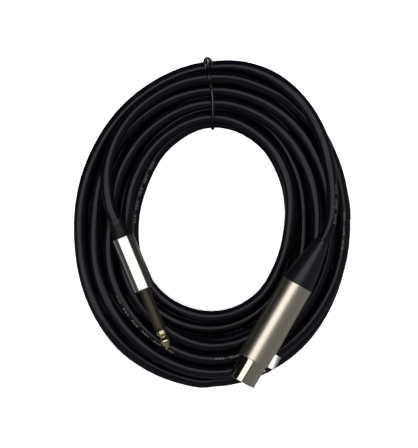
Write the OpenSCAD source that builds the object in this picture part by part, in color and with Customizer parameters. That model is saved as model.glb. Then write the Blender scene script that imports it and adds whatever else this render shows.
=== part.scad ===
// Microphone cable coiled for storage: an XLR socket connector on one end, a
// 6.35 mm jack plug on the other, and a twist tie round the bundle.
// Millimetres, +Z up. The origin is the centre of the ring of loops, on the
// surface that it lies on; the tie is on the +Y side. Each connector is drawn
// in its own frame: its axis is X, from the mouth of its boot to its nose.

/* [Cable] */
// Diameter of the jacket
cable_d = 6.7; // [5.5:0.1:7.2]
// Least gap between two neighbouring strands
strand_gap = 0.45; // [0.41:0.01:1.2]
// Depth of the flat that the lowest strands rest on
rest_flat = 0.67; // [0.4:0.01:1]
// Diameter of an insulated core
core_d = 1.4; // [1:0.1:1.6]
// Gap between the jacket and the hole of a boot or clamp
jacket_gap = 0.1; // [0.05:0.01:0.2]
// Gap between a connector and the strands that it lies on
seat_gap = 0.25; // [0.1:0.01:0.9]

/* [XLR shell] */
// Diameter of the shell
shell_d = 18.4; // [17.6:0.1:20]
// Length of the wide part of the shell
shell_len = 48.9; // [46:0.1:56]
// Wall of the wide part
shell_wall = 1.2; // [0.9:0.1:1.4]
// Diameter of the nose
nose_d = 15.8; // [15:0.1:16.2]
// Length of the nose
nose_len = 13.4; // [12.5:0.1:15]
// Wall of the nose
nose_wall = 0.8; // [0.6:0.1:1]
// Length of the narrow bore behind the nose, which stops the insert
seat_len = 10.6; // [9.8:0.1:11.5]

/* [XLR insert and contacts] */
// Length of the insert's wide rear flange
flange_len = 8; // [7:0.1:9]
// Distance of the insert's face behind the rim of the nose
insert_recess = 0.6; // [0.2:0.1:1.2]
// Radius of the circle that the contacts lie on
contact_circle_r = 3.8; // [3.7:0.05:4]
// Outer diameter of a contact
contact_d = 3.5; // [3.2:0.1:3.7]
// Length of a contact's socket part
contact_len = 12.4; // [11:0.1:12.6]
// Diameter of a contact's bore
socket_d = 2.4; // [2.3:0.05:2.6]
// Depth of a contact's bore
socket_depth = 11; // [9:0.1:11.5]
// Thickness of the insert in front of a contact
face_t = 1; // [0.6:0.1:1.5]
// Width of the keyway under the insert's front
key_w = 2; // [1.6:0.1:2.6]
// Length of the keyway
key_len = 8.4; // [7:0.1:9.4]
// Depth of the keyway
key_depth = 0.85; // [0.6:0.05:1]
// Diameter of a contact's stem
stem_d = 2.6; // [2.3:0.1:2.8]
// Length of the solder cup behind the insert
cup_len = 4.5; // [3.5:0.1:6]
// Wall of the solder cup
cup_wall = 0.4; // [0.2:0.05:0.45]

/* [XLR latch] */
// Diameter of the latch pin
latch_pin_d = 1.5; // [1.2:0.1:1.8]
// Length of the latch pin
latch_pin_len = 8.8; // [7.5:0.1:9]
// Gap between the latch pin's ends and the shell's bore
pin_end_gap = 0.1; // [0.05:0.01:0.3]
// Radial clearance of the latch pin
pin_gap = 0.05; // [0.02:0.01:0.1]
// Distance of the latch pin behind the nose
latch_reach = 14.6; // [14.4:0.1:15.2]
// Outer diameter of the lever's eye
eye_d = 3.2; // [2.8:0.1:3.4]
// Thickness of the lever
lever_t = 1.2; // [1:0.05:1.3]
// Width of the lever
lever_w = 4.6; // [4:0.1:5]
// Width of the push tab
tab_w = 7; // [6:0.1:7.6]
// Length of the push tab
tab_len = 8.1; // [7:0.1:8.4]
// Height of the push tab above the shell
tab_rise = 3.3; // [2.5:0.1:4]
// Width of the hook
hook_w = 3; // [2.4:0.1:3.4]
// Height of the hook above the nose
hook_rise = 1; // [0.8:0.1:1.2]
// Length of the hook
hook_len = 2.2; // [1.8:0.1:2.6]
// Side gap of the lever, tab and hook in their slots
slot_gap = 0.3; // [0.2:0.05:0.5]
// Angle that the lever turns when it is pressed
press_deg = 5; // [3:0.5:5.5]
// Wire diameter of the latch spring
spring_wire = 0.35; // [0.25:0.05:0.45]
// Outer diameter of the latch spring
spring_d = 2.4; // [2:0.1:2.6]
// Number of turns in the latch spring
spring_turns = 5; // [3:1:6]

/* [XLR screw, boot and chuck] */
// Diameter of the insert's set screw
set_screw_d = 2; // [1.6:0.1:2.4]
// Length of the insert's set screw
set_screw_len = 3; // [2.4:0.1:3.4]
// Length of the boot that shows
boot_len = 27.7; // [24:0.1:32]
// Diameter of the boot's mouth
boot_mouth_d = 7.7; // [7.5:0.1:9]
// Swell of the boot's sides beyond a straight cone
boot_swell = 0.7; // [0:0.1:1.2]
// Length of the boot's threaded collar in the shell
collar_len = 3.5; // [2.5:0.1:4]
// Wall of the boot's threaded collar
collar_wall = 1.25; // [0.9:0.05:1.4]
// Length of the chuck's jaws, from their tip to the flange
jaw_len = 12.3; // [10:0.1:13]
// Thickness of the chuck's flange
chuck_flange_t = 2.5; // [1.5:0.1:4]
// Width of the saw cuts between the jaws
jaw_cut = 1; // [0.6:0.1:1.4]
// Length of jacket beyond the chuck, up to where it is stripped
strip_len = 2; // [1:0.1:4]

/* [Jack barrel and boot] */
// Diameter of the barrel
barrel_d = 13; // [12.6:0.1:15]
// Length of the barrel
barrel_len = 31.5; // [30.5:0.1:36]
// Wall of the barrel
barrel_wall = 0.9; // [0.7:0.05:1]
// Thickness of the lip that holds the boot
lip_t = 1.5; // [1:0.1:2]
// Length of the jack's boot that shows
jboot_len = 10.7; // [9:0.1:14]
// Diameter of the jack's boot at its mouth
jboot_mouth_d = 8.1; // [7.8:0.1:8.8]
// Diameter of the jack's boot at the barrel
jboot_end_d = 11.2; // [10:0.1:12.2]
// Number of ribs on the jack's boot
rib_count = 5; // [3:1:7]
// Depth of the grooves between the ribs
groove_depth = 0.45; // [0.2:0.05:0.5]
// Diameter of the boot's neck in the lip
neck_d = 9.2; // [8.8:0.1:9.6]
// Length of the boot's flange inside the barrel
jflange_len = 2.9; // [2:0.1:3.3]
// Turning clearance between the barrel and what it turns on
turn_gap = 0.05; // [0.02:0.01:0.1]

/* [Jack plug] */
// Diameter of the plug
plug_d = 6.35; // [6.3:0.01:6.4]
// Length of the plug in front of the barrel
plug_len = 35.6; // [33:0.1:38]
// Length of the tip
tip_len = 11; // [9:0.1:12]
// Width of the insulating ring
ring_t = 1.2; // [0.8:0.1:1.6]
// Bore of the sleeve
sleeve_bore_d = 4.1; // [3.8:0.1:4.6]
// Diameter of the tip's rod
rod_d = 2.3; // [2:0.1:2.8]
// Length of the threaded collar that the barrel screws onto
thread_len = 4.5; // [3.5:0.1:5.4]
// Thickness of the collar's flange behind the thread
collar_flange_t = 1.5; // [1:0.1:2]
// Thickness of a solder lug
lug_t = 0.5; // [0.4:0.05:0.8]
// Thickness of the insulating washer
washer_t = 1; // [0.6:0.1:1.4]
// Wall of the insulating liner
liner_wall = 0.35; // [0.25:0.05:0.5]
// Gap between the liner and the barrel
liner_gap = 0.1; // [0.05:0.01:0.15]
// Width of the clamp's band round the jacket
clamp_w = 3.5; // [2.5:0.1:4.5]
// Thickness of the clamp's band
clamp_t = 0.6; // [0.4:0.05:0.8]

/* [Tie] */
// Width of the tie
tie_w = 2.3; // [1.6:0.1:3.5]
// Thickness of the tie
tie_t = 0.65; // [0.45:0.05:0.7]
// Gap between the tie and the strands
tie_gap = 0.4; // [0.25:0.05:0.5]

/* [Hidden] */
$fn = 48;
eps = 0.01;

// ---- the coil: two layers of one strand, wound in and then out again ----

cable_r = cable_d / 2;
pitch = cable_d + strand_gap;
low_z = cable_r - rest_flat;
top_z = low_z + pitch;
// Strand's position at a turn count: it starts on the right in the upper
// layer, spirals in, goes down a layer as the spiral reverses, spirals out.
start_turn = 0.25;
end_turn = 8.5;
reverse_turn = 2.85;
reverse_span = 0.75;
down_turn = 3.25;
down_span = 0.5;
low_first_turn = 4;
rings_per_turn = 24;
coil_sides = 6;
// Every 30 degrees of the ring, clockwise from the tie: the inner edge's
// radius, the band's width in strands, the lanes in the lower layer, and the
// upper layer's first lane and step as shares of the band.
inner_r = [53, 50.5, 43.5, 38.5, 40.5, 46.5, 49.5, 48.5, 44.5, 41, 41.5, 47.5];
band_w = [5.1, 5.4, 5.1, 5.45, 5.8, 5.95, 6.15, 5.85, 5.3, 5.05, 5.2, 5.05];
low_lanes = [4.06, 4.12, 4.13, 4.42, 4.75, 4.95, 5.08, 4.85, 4.35, 4.08, 4.12, 4.06];
top_lane = [0.83, 0.84, 1.03, 1.06, 1.02, 0.96, 0.95, 0.91, 0.93, 0.95, 1, 0.95];
top_step = [0.24, 0.24, 0.25, 0.23, 0.22, 0.21, 0.2, 0.22, 0.25, 0.3, 0.3, 0.28];
// The loops bulge up a little where the tie passes under them.
lift_h = 1.85;
lift_span = 0.1;
// Where a loop changes lane, as parts of its turn.
lane_start = 0.08;
lane_span = 0.42;

function part_of(t) = t - floor(t);

function smooth(x) = let (c = max(0, min(1, x))) c * c * (3 - 2 * c);

function spline(p, q, r, s, u) =
    0.5 * (2 * q + (r - p) * u + (2 * p - 5 * q + 4 * r - s) * u * u
    + (3 * q - p - 3 * r + s) * u * u * u);

function round_ring(list, f) =
    let (n = len(list), x = part_of(f) * n, i = floor(x))
    spline(list[(i + n - 1) % n], list[i % n], list[(i + 1) % n], list[(i + 2) % n], x - i);

function lane_low(t) =
    (floor(t) - low_first_turn + smooth((part_of(t) - lane_start) / lane_span))
    / round_ring(low_lanes, t);

function lane_top(t) = round_ring(top_lane, t) - t * round_ring(top_step, t);

function lane(t) =
    let (s = smooth((t - reverse_turn) / reverse_span))
    s == 0 ? lane_top(t) : s == 1 ? lane_low(t) : (1 - s) * lane_top(t) + s * lane_low(t);

function lift(t) = lift_h * (1 - smooth(abs(part_of(t + 0.5) - 0.5) / lift_span));

function coil_r(t) = round_ring(inner_r, t) + cable_r
    + lane(t) * (round_ring(band_w, t) * pitch - cable_d);

function coil_z(t) = top_z + (low_z - top_z) * smooth((t - down_turn) / down_span) + lift(t);

function coil_at(t) = [coil_r(t) * sin(360 * t), coil_r(t) * cos(360 * t), coil_z(t)];

function unit(v) = v / norm(v);

coil_rings = round((end_turn - start_turn) * rings_per_turn);
coil_path = [for (i = [0:coil_rings]) coil_at(start_turn + i / rings_per_turn)];
coil_start_dir = unit(coil_at(start_turn + 0.001) - coil_at(start_turn));
coil_end_dir = unit(coil_at(end_turn) - coil_at(end_turn - 0.001));
coil_start = coil_path[0] - coil_start_dir * cable_d;
coil_end = coil_path[coil_rings] + coil_end_dir * cable_d;

// Least gap of the coil to itself, from each ring to the rings beside it.
coil_gap = min([
    for (i = [0:coil_rings])
    for (k = [1:floor(end_turn)])
    for (m = [-2:2])
    let (j = i + k * rings_per_turn + m)
    if (j <= coil_rings) norm(coil_path[i] - coil_path[j])
]) - cable_d;
echo(str("least gap of the coil to itself, mm: ", coil_gap));

// ---- the connectors' places ----

shell_r = shell_d / 2;
barrel_r = barrel_d / 2;
xlr_turn = 240;
xlr_at = [61.3, -10.5, top_z + cable_r + seat_gap + shell_r];
jack_turn = -67.5;
jack_at = [-54, 1.5, top_z + cable_r + seat_gap + barrel_r];

function along(at, turn, x) = at + x * [cos(turn), sin(turn), 0];

// ---- the leads between the coil and the connectors ----

lead_sides = 8;
xlr_straight = 4.5;
jack_straight = 7;
xlr_lead_points = [
    [-18.5, -87.5, 3.4], [-30, -83.2, 5.2], [-41, -76.8, 7.4], [-51, -68.5, 9.2],
    [-60.5, -56, 9.9], [-67.5, -42, 9.9], [-72, -26.5, 9.9], [-74, -9, 9.9],
    [-73.5, 8, 9.9], [-70.5, 23.5, 9.9], [-65, 38, 9.9], [-57, 52, 9.9],
    [-46.5, 64.5, 10], [-33.5, 74.7, 10.6], [-20, 81.8, 11.4], [-8, 85.5, 11.8],
    [3, 86.9, 12], [13, 87, 12], [23, 85.2, 12.4], [32.5, 81.5, 14],
    [41, 75.8, 15.8], [49, 68, 17], [56.5, 57.5, 17.1], [62.1, 45.3, 17.2],
    [65.2, 33, 17.9], [66.7, 21.5, 19.2], [67, 12, 20.7], [66.6, 4.6, 21.8],
    [65.5, -1.4, 22.4]
];
jack_lead_points = [
    [-58.5, 18, 19.1], [-58.8, 28, 18], [-56, 40, 17.1], [-50.5, 51.5, 17.1],
    [-42.5, 62, 17.1], [-32.5, 70, 17.1], [-21, 76.3, 17], [-9, 79.8, 16.6],
    [2.5, 80.8, 16.3], [12.5, 80, 15.6], [21.5, 77.6, 13.8], [31, 73.8, 12.3],
    [40.3, 69.2, 10.8], [48.3, 62.6, 9.9], [56, 55.3, 9.9], [62, 47.2, 9.9],
    [66.5, 37.8, 9.9], [70.3, 27.5, 9.9], [72.7, 17, 9.9]
];

// ---- XLR sizes along its axis ----

step_x = boot_len + shell_len;
nose_x = step_x + nose_len;
insert_seat_x = step_x - seat_len;
flange_x = insert_seat_x - flange_len;
insert_face_x = nose_x - insert_recess;
collar_x = boot_len + collar_len;
chuck_flange_x = collar_x + slot_gap;
jaw_x = chuck_flange_x - jaw_len;
chuck_end_x = chuck_flange_x + chuck_flange_t;
xlr_strip_x = chuck_end_x + strip_len;
shell_bore_r = shell_d / 2 - shell_wall;
nose_r = nose_d / 2;
nose_bore_r = nose_r - nose_wall;
insert_gap = 0.05;
jacket_bore_r = cable_r + jacket_gap;
collar_bore_r = shell_bore_r - turn_gap - collar_wall;
chuck_r = collar_bore_r - turn_gap;
cone_len = 5.5;
jaw_tip_wall = 1.1;

// Contacts: the socket part ends behind the insert's face.
contact_end_x = insert_face_x - face_t;
contact_x = contact_end_x - contact_len;
cup_x = flange_x - cup_len;
cup_bore_r = stem_d / 2 - cup_wall;
cup_depth = cup_len - 0.5;
wire_end_x = cup_x + cup_depth - 0.2;
contact_places = [[0, contact_circle_r], [0, -contact_circle_r], [-contact_circle_r, 0]];

// Latch: the lever lies in a trough of the insert, under the shell's window.
latch_x = step_x - latch_reach;
lever_gap = 0.7;
pin_fit_y = sqrt(pow(shell_bore_r - pin_end_gap, 2) - pow(latch_pin_len / 2, 2))
    - latch_pin_d / 2;
latch_y = min(nose_bore_r - lever_gap - lever_t / 2, pin_fit_y);
arm_top_y = latch_y + lever_t / 2;
arm_low_y = latch_y - lever_t / 2;
tab_end_x = step_x - 0.9;
tab_x = tab_end_x - tab_len;
tab_low_y = nose_bore_r + 0.9;
tab_top_y = shell_r + tab_rise;
stem_inset = 0.8;
hook_x = step_x + 1.4;
hook_end_x = hook_x + hook_len;
hook_top_y = nose_r + hook_rise;
lever_drop = (hook_end_x - latch_x) * sin(press_deg);
trough_y = arm_low_y - lever_drop - slot_gap;
trough_w = lever_w + 2 * slot_gap;
trough_x = latch_x - eye_d / 2 - slot_gap;
trough_end_x = hook_end_x + 2;
spring_x = (tab_x + tab_end_x) / 2;
spring_low_y = 0.6;
spring_rise = arm_low_y - spring_low_y - spring_wire;
spring_r = (spring_d - spring_wire) / 2;
set_screw_x = flange_x + flange_len / 2 + 1;
set_screw_z = -shell_r + 0.2;
socket_af = 0.9;

// ---- jack sizes along its axis ----

barrel_x = jboot_len;
barrel_end_x = barrel_x + barrel_len;
barrel_bore_r = barrel_r - barrel_wall;
lip_end_x = barrel_x + lip_t;
neck_r = neck_d / 2;
jflange_x = lip_end_x + turn_gap;
jflange_end_x = jflange_x + jflange_len;
tip_end_x = barrel_end_x + plug_len;
tip_x = tip_end_x - tip_len;
ring_x = tip_x - ring_t;
plug_r = plug_d / 2;
// Tip: a wide band, a neck that a socket's spring drops into, a crest, a cone.
tip_band_x = tip_x + 2.2;
tip_neck_x = tip_x + 3.9;
tip_crest_x = tip_x + 6.5;
tip_crest_half = 0.6;
tip_neck_depth = 1.05;
thread_x = barrel_end_x - thread_len;
collar_back_x = thread_x - collar_flange_t;
thread_r = barrel_bore_r - turn_gap;
rod_r = rod_d / 2;
tube_gap = 0.05;
lug_x = collar_back_x - lug_t;
washer_x = lug_x - washer_t;
tip_lug_x = washer_x - lug_t;
rivet_t = 0.5;
rivet_x = tip_lug_x - rivet_t;
liner_r = barrel_bore_r - liner_gap;
liner_bore_r = liner_r - liner_wall;
liner_x = jflange_end_x + 0.4;
lug_r = liner_bore_r - 0.25;
lug_tail_w = 4;
clamp_x = liner_x + 2;
clamp_bore_r = cable_r + jacket_gap;
clamp_r = clamp_bore_r + clamp_t;
jack_strip_x = clamp_x + clamp_w + 1;
tail_top_z = -clamp_r + 0.05;
rivet_r = rod_r + 0.4;
tip_lug_r = rivet_r + 1;
tip_tail_w = 3;
tip_tail_len = 5.5;
tip_tail_z = rivet_r + 0.1 + lug_t;
tip_tail_x = tip_lug_x - tip_tail_len;
core_r = core_d / 2;
wire_bend = 1.5;
shield_reach = 4;
joint_len = 3;

// ---- swept tubes ----

// One ring of a tube, with a flat at its bottom; no point goes under the
// floor, where one is given.
function ring(c, dir, up, r, n, floor_z) =
    let (u = unit(cross(dir, up)), v = cross(u, dir))
    [for (k = [0:n - 1])
        let (a = 270 + (k + 0.5) * 360 / n, p = c + r * (cos(a) * u + sin(a) * v))
        is_undef(floor_z) ? p : [p[0], p[1], max(p[2], floor_z)]];

function travel(path, first, last) = [
    for (i = [0:len(path) - 1])
    i == 0 ? first : i == len(path) - 1 ? last
    : unit(unit(path[i + 1] - path[i]) + unit(path[i] - path[i - 1]))
];

// A closed skin over m rings of n points each.
module skin(points, m, n) {
    sides = [
        for (i = [0:m - 2])
        for (k = [0:n - 1])
        let (a = i * n + k, b = i * n + (k + 1) % n)
        each [[a, b, a + n], [b, b + n, a + n]]
    ];
    low_cap = [for (k = [1:n - 2]) [0, k + 1, k]];
    high_cap = [for (k = [1:n - 2]) [(m - 1) * n, (m - 1) * n + k, (m - 1) * n + k + 1]];
    polyhedron(points = points, faces = concat(sides, low_cap, high_cap), convexity = 10);
}

module sweep(path, first, last, r, n, up = [0, 0, 1], floor_z = undef) {
    dirs = travel(path, first, last);
    m = len(path);
    skin([for (i = [0:m - 1]) each ring(path[i], dirs[i], up, r, n, floor_z)], m, n);
}

// A wire that runs straight along X at both of its ends.
module wire(path) {
    sweep(path, [1, 0, 0], [1, 0, 0], core_r, lead_sides);
}

// A round solid turned about X, from points of axis position and radius.
module turned(points) {
    rotate([90, 0, 90]) rotate_extrude() polygon([for (p = points) [p[1], p[0]]]);
}

module rod_x(x0, x1, r) {
    translate([x0, 0, 0]) rotate([0, 90, 0]) cylinder(h = x1 - x0, r = r);
}

module tube_x(x0, x1, r, bore) {
    difference() {
        rod_x(x0, x1, r);
        rod_x(x0 - 1, x1 + 1, bore);
    }
}

// A block between two corners.
module block(a, b) {
    translate(a) cube(b - a);
}

module in_xlr() {
    translate(xlr_at) rotate([0, 0, xlr_turn]) children();
}

module in_jack() {
    translate(jack_at) rotate([0, 0, jack_turn]) children();
}

// ---- cable ----

module cable_coil() {
    color("#17171b")
    sweep(concat([coil_start], coil_path, [coil_end]),
        coil_start_dir, coil_end_dir, cable_r, coil_sides, floor_z = 0);
}

// From the coil's outer end, once round the top, into the XLR connector.
module xlr_lead() {
    inward = [cos(xlr_turn), sin(xlr_turn), 0];
    path = concat([coil_end], xlr_lead_points, [
        for (x = [-xlr_straight, 0, xlr_strip_x]) along(xlr_at, xlr_turn, x)
    ]);
    color("#1a1a1f") sweep(path, coil_end_dir, inward, cable_r, lead_sides, floor_z = 0);
}

// From inside the jack, over the top of the bundle, to the coil's start.
module jack_lead() {
    outward = -[cos(jack_turn), sin(jack_turn), 0];
    path = concat([
        for (x = [jack_strip_x, 0, -jack_straight]) along(jack_at, jack_turn, x)
    ], jack_lead_points, [coil_start]);
    color("#1d1d22") sweep(path, outward, coil_start_dir, cable_r, lead_sides, floor_z = 0);
}

// ---- XLR connector ----

// One casting: the wide body, the nose, and the latch's window and hook slot.
module xlr_shell() {
    window_w = tab_w + 2 * slot_gap;
    hook_slot_w = hook_w + 2 * slot_gap;
    color("#b9b2a3") in_xlr() difference() {
        turned([
            [boot_len, shell_bore_r], [boot_len, shell_r - 0.2], [boot_len + 0.2, shell_r],
            [step_x - 0.3, shell_r], [step_x, shell_r - 0.3], [step_x, nose_r],
            [nose_x - 0.3, nose_r], [nose_x, nose_r - 0.3], [nose_x, nose_bore_r],
            [insert_seat_x, nose_bore_r], [insert_seat_x, shell_bore_r]
        ]);
        block([tab_x - slot_gap, arm_low_y, -window_w / 2], [step_x, shell_r + 1, window_w / 2]);
        block([step_x - eps, arm_low_y, -hook_slot_w / 2],
            [hook_end_x + 2 * slot_gap, shell_r + 1, hook_slot_w / 2]);
        translate([set_screw_x, 0, -shell_r - 1])
            cylinder(h = shell_wall + 2, r = set_screw_d / 2 + insert_gap);
    }
}

module contact_hole(place) {
    translate([0, place[0], place[1]]) {
        rod_x(flange_x - 1, contact_x + eps, stem_d / 2 + insert_gap);
        rod_x(contact_x, contact_end_x, contact_d / 2 + insert_gap);
        rod_x(contact_end_x - eps, insert_face_x + 1, socket_d / 2 + 0.1);
    }
}

module xlr_insert() {
    ear_gap = pin_gap;
    color("#202024") in_xlr() difference() {
        union() {
            rod_x(flange_x, insert_seat_x, shell_bore_r - insert_gap);
            rod_x(flange_x, insert_face_x, nose_bore_r - insert_gap);
        }
        block([trough_x, trough_y, -trough_w / 2], [trough_end_x, shell_r, trough_w / 2]);
        translate([latch_x, latch_y, -shell_r])
            cylinder(h = shell_d, r = latch_pin_d / 2 + ear_gap);
        translate([spring_x, spring_low_y, 0]) rotate([-90, 0, 0])
            cylinder(h = shell_r, r = spring_d / 2 + 0.15);
        translate([set_screw_x, 0, set_screw_z - 1])
            cylinder(h = set_screw_len + 1 + insert_gap, r = set_screw_d / 2 + insert_gap);
        block([insert_face_x - key_len, -shell_r, -key_w / 2],
            [nose_x, -nose_bore_r + insert_gap + key_depth, key_w / 2]);
        for (place = contact_places) contact_hole(place);
    }
}

// A turned socket with a solder cup at the back.
module contact(place) {
    color("#d8c48a") in_xlr() translate([0, place[0], place[1]]) difference() {
        union() {
            rod_x(contact_x, contact_end_x, contact_d / 2);
            rod_x(cup_x, contact_x + eps, stem_d / 2);
        }
        rod_x(contact_end_x - socket_depth, contact_end_x + 1, socket_d / 2);
        rod_x(cup_x - 1, cup_x + cup_depth, cup_bore_r);
    }
}

module xlr_contact_1() {
    contact(contact_places[0]);
}

module xlr_contact_2() {
    contact(contact_places[1]);
}

module xlr_contact_3() {
    contact(contact_places[2]);
}

// Lever on the cross pin: push tab in the window, hook in the nose's slot.
module xlr_latch() {
    tab_z = tab_w / 2;
    color("#d2cfc6") in_xlr() difference() {
        union() {
            translate([latch_x, latch_y, -lever_w / 2]) cylinder(h = lever_w, r = eye_d / 2);
            block([latch_x, arm_low_y, -lever_w / 2], [hook_end_x, arm_top_y, lever_w / 2]);
            block([tab_x + stem_inset, arm_top_y - eps, -lever_w / 2],
                [tab_end_x - stem_inset, tab_low_y + eps, lever_w / 2]);
            translate([0, 0, -tab_z]) linear_extrude(tab_w) polygon([
                [tab_x, tab_low_y], [tab_end_x, tab_low_y], [tab_end_x, tab_top_y - 0.4],
                [tab_end_x - 0.4, tab_top_y], [tab_x + 0.4, tab_top_y], [tab_x, tab_top_y - 0.4]
            ]);
            translate([0, 0, -hook_w / 2]) linear_extrude(hook_w) polygon([
                [hook_x, arm_top_y - eps], [hook_end_x, arm_top_y - eps],
                [hook_end_x, nose_r - 0.3], [hook_x + 0.9, hook_top_y], [hook_x, hook_top_y]
            ]);
        }
        translate([latch_x, latch_y, -lever_w])
            cylinder(h = 2 * lever_w, r = latch_pin_d / 2 + pin_gap);
    }
}

module xlr_latch_pin() {
    color("#c8c8cc") in_xlr() translate([latch_x, latch_y, -latch_pin_len / 2])
        cylinder(h = latch_pin_len, r = latch_pin_d / 2);
}

// Compression spring from the insert's pocket up to the lever.
module xlr_latch_spring() {
    rings = spring_turns * 8;
    base = [spring_x, spring_low_y + spring_wire / 2 + tube_gap, 0];
    rise = spring_rise - 2 * tube_gap;
    path = [
        for (i = [0:rings])
        let (a = 360 * i / 8)
        base + [spring_r * cos(a), rise * i / rings, spring_r * sin(a)]
    ];
    color("#9a9aa0") in_xlr()
        sweep(path, [0, 0, 1], [0, 0, 1], spring_wire / 2, coil_sides, up = [0, 1, 0]);
}

// Headless screw with a hexagon socket; it pins the insert in the shell.
module xlr_insert_screw() {
    color("#8c8c92") in_xlr() translate([set_screw_x, 0, set_screw_z]) difference() {
        cylinder(h = set_screw_len, r = set_screw_d / 2);
        translate([0, 0, -1]) cylinder(h = 1 + set_screw_len / 2, r = socket_af / 2, $fn = 6);
    }
}

// Collet round the jacket: jaws with a coned back, a flange in the shell.
module xlr_chuck() {
    color("#3a3a40") in_xlr() difference() {
        turned([
            [jaw_x, jacket_bore_r], [jaw_x, jacket_bore_r + jaw_tip_wall],
            [jaw_x + cone_len, chuck_r], [chuck_flange_x, chuck_r],
            [chuck_flange_x, shell_bore_r - 0.2], [chuck_end_x, shell_bore_r - 0.2],
            [chuck_end_x, jacket_bore_r]
        ]);
        for (a = [0, 90]) rotate([a, 0, 0])
            block([jaw_x - 1, -jaw_cut / 2, -shell_r], [chuck_flange_x - 1, jaw_cut / 2, shell_r]);
    }
}

function boot_side(u) =
    boot_mouth_d / 2 + (shell_r - boot_mouth_d / 2) * u + boot_swell * 4 * u * (1 - u);

// Boot with the collar that screws into the shell and squeezes the jaws.
module xlr_boot() {
    steps = 10;
    cone_gap = turn_gap * 2;
    side = [for (i = [0:steps]) [boot_len * i / steps, boot_side(i / steps)]];
    color("#1b1b1f") in_xlr() turned(concat(side, [
        [boot_len, shell_bore_r - turn_gap], [collar_x, shell_bore_r - turn_gap],
        [collar_x, collar_bore_r], [jaw_x + cone_len - cone_gap, collar_bore_r],
        [jaw_x - cone_gap, jacket_bore_r + jaw_tip_wall + turn_gap],
        [jaw_x - cone_gap, jacket_bore_r], [0, jacket_bore_r]
    ]));
}

// A core from the stripped jacket to a contact's solder cup.
module xlr_wire(start, place) {
    x0 = xlr_strip_x;
    x1 = cup_x - 3;
    span = x1 - x0;
    in_xlr() wire([
        [x0, start[0], start[1]], [x0 + span * 0.3, start[0] * 1.3, start[1] * 1.3],
        [x0 + span * 0.75, place[0] * 0.9, place[1] * 0.9],
        [x1, place[0], place[1]], [wire_end_x, place[0], place[1]]
    ]);
}

module xlr_wire_shield() {
    color("#b98c5a") xlr_wire([0, core_d * 0.75], contact_places[0]);
}

module xlr_wire_hot() {
    color("#b0372e") xlr_wire([0, -core_d * 0.75], contact_places[1]);
}

module xlr_wire_cold() {
    color("#e4e2dc") xlr_wire([-core_d * 0.95, 0], contact_places[2]);
}

// ---- jack plug ----

module jack_barrel() {
    color("#c9c9c6") in_jack() turned([
        [barrel_x, neck_r + turn_gap], [barrel_x, barrel_r - 0.4], [barrel_x + 0.4, barrel_r],
        [barrel_end_x - 0.4, barrel_r], [barrel_end_x, barrel_r - 0.4],
        [barrel_end_x, barrel_bore_r], [lip_end_x, barrel_bore_r], [lip_end_x, neck_r + turn_gap]
    ]);
}

// Rubber boot: ribs outside, and a neck and flange held by the barrel's lip.
module jack_boot() {
    end_x = barrel_x - turn_gap;
    step = end_x / rib_count;
    groove = step * 0.4;
    slope = (jboot_end_d - jboot_mouth_d) / 2 / end_x;
    ribs = [
        for (i = [0:rib_count - 1])
        let (x = i * step, r = jboot_mouth_d / 2 + slope * x, far = x + step)
        each [
            [x, r], [far - groove, r + slope * (step - groove)],
            [far - groove, r - groove_depth], [far, r - groove_depth]
        ]
    ];
    color("#1e1e22") in_jack() turned(concat(ribs, [
        [end_x, jboot_end_d / 2 - 0.2], [end_x + turn_gap, neck_r], [jflange_x, neck_r],
        [jflange_x, thread_r], [jflange_end_x, thread_r], [jflange_end_x, jacket_bore_r],
        [0, jacket_bore_r]
    ]));
}

// Plug's outer conductor, with the threaded collar inside the barrel.
module jack_sleeve() {
    color("#cfcabd") in_jack() turned([
        [collar_back_x, sleeve_bore_d / 2], [collar_back_x, thread_r - 0.4],
        [thread_x, thread_r - 0.4], [thread_x, thread_r], [barrel_end_x, thread_r],
        [barrel_end_x, plug_r], [ring_x - 0.2, plug_r], [ring_x, plug_r - 0.2],
        [ring_x, sleeve_bore_d / 2]
    ]);
}

// Insulating tube round the rod, and the ring between sleeve and tip.
module jack_insulator() {
    color("#0f0f12") in_jack() difference() {
        union() {
            rod_x(lug_x, ring_x + eps, sleeve_bore_d / 2 - tube_gap);
            rod_x(ring_x, tip_x, plug_r - 0.25);
        }
        rod_x(lug_x - 1, tip_x + 1, rod_r + tube_gap);
    }
}

// Tip and its rod, riveted over at the back.
module jack_tip() {
    color("#cdb26a") in_jack() turned([
        [rivet_x, 0], [rivet_x, rivet_r], [tip_lug_x, rivet_r], [tip_lug_x, rod_r],
        [tip_x, rod_r], [tip_x, plug_r - 0.35], [tip_x + 0.3, plug_r], [tip_band_x, plug_r],
        [tip_neck_x - 0.6, plug_r - tip_neck_depth + 0.1],
        [tip_neck_x, plug_r - tip_neck_depth],
        [tip_neck_x + 0.7, plug_r - tip_neck_depth + 0.25],
        [tip_crest_x - tip_crest_half, plug_r - 0.1], [tip_crest_x, plug_r],
        [tip_crest_x + tip_crest_half, plug_r - 0.15],
        [tip_end_x - 0.7, 1.15], [tip_end_x - 0.25, 0.75], [tip_end_x, 0]
    ]);
}

module jack_washer() {
    color("#8a5a3a") in_jack()
        tube_x(washer_x, lug_x, plug_r + 0.4, rod_r + tube_gap);
}

// Plate on the end of the rod, with a tail that the hot core is soldered to.
module jack_tip_lug() {
    color("#c9a45c") in_jack() difference() {
        union() {
            rod_x(tip_lug_x, washer_x, tip_lug_r);
            block([tip_tail_x, -tip_tail_w / 2, tip_tail_z - lug_t],
                [washer_x, tip_tail_w / 2, tip_tail_z]);
        }
        rod_x(tip_lug_x - 1, washer_x + 1, rod_r + tube_gap);
    }
}

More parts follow.
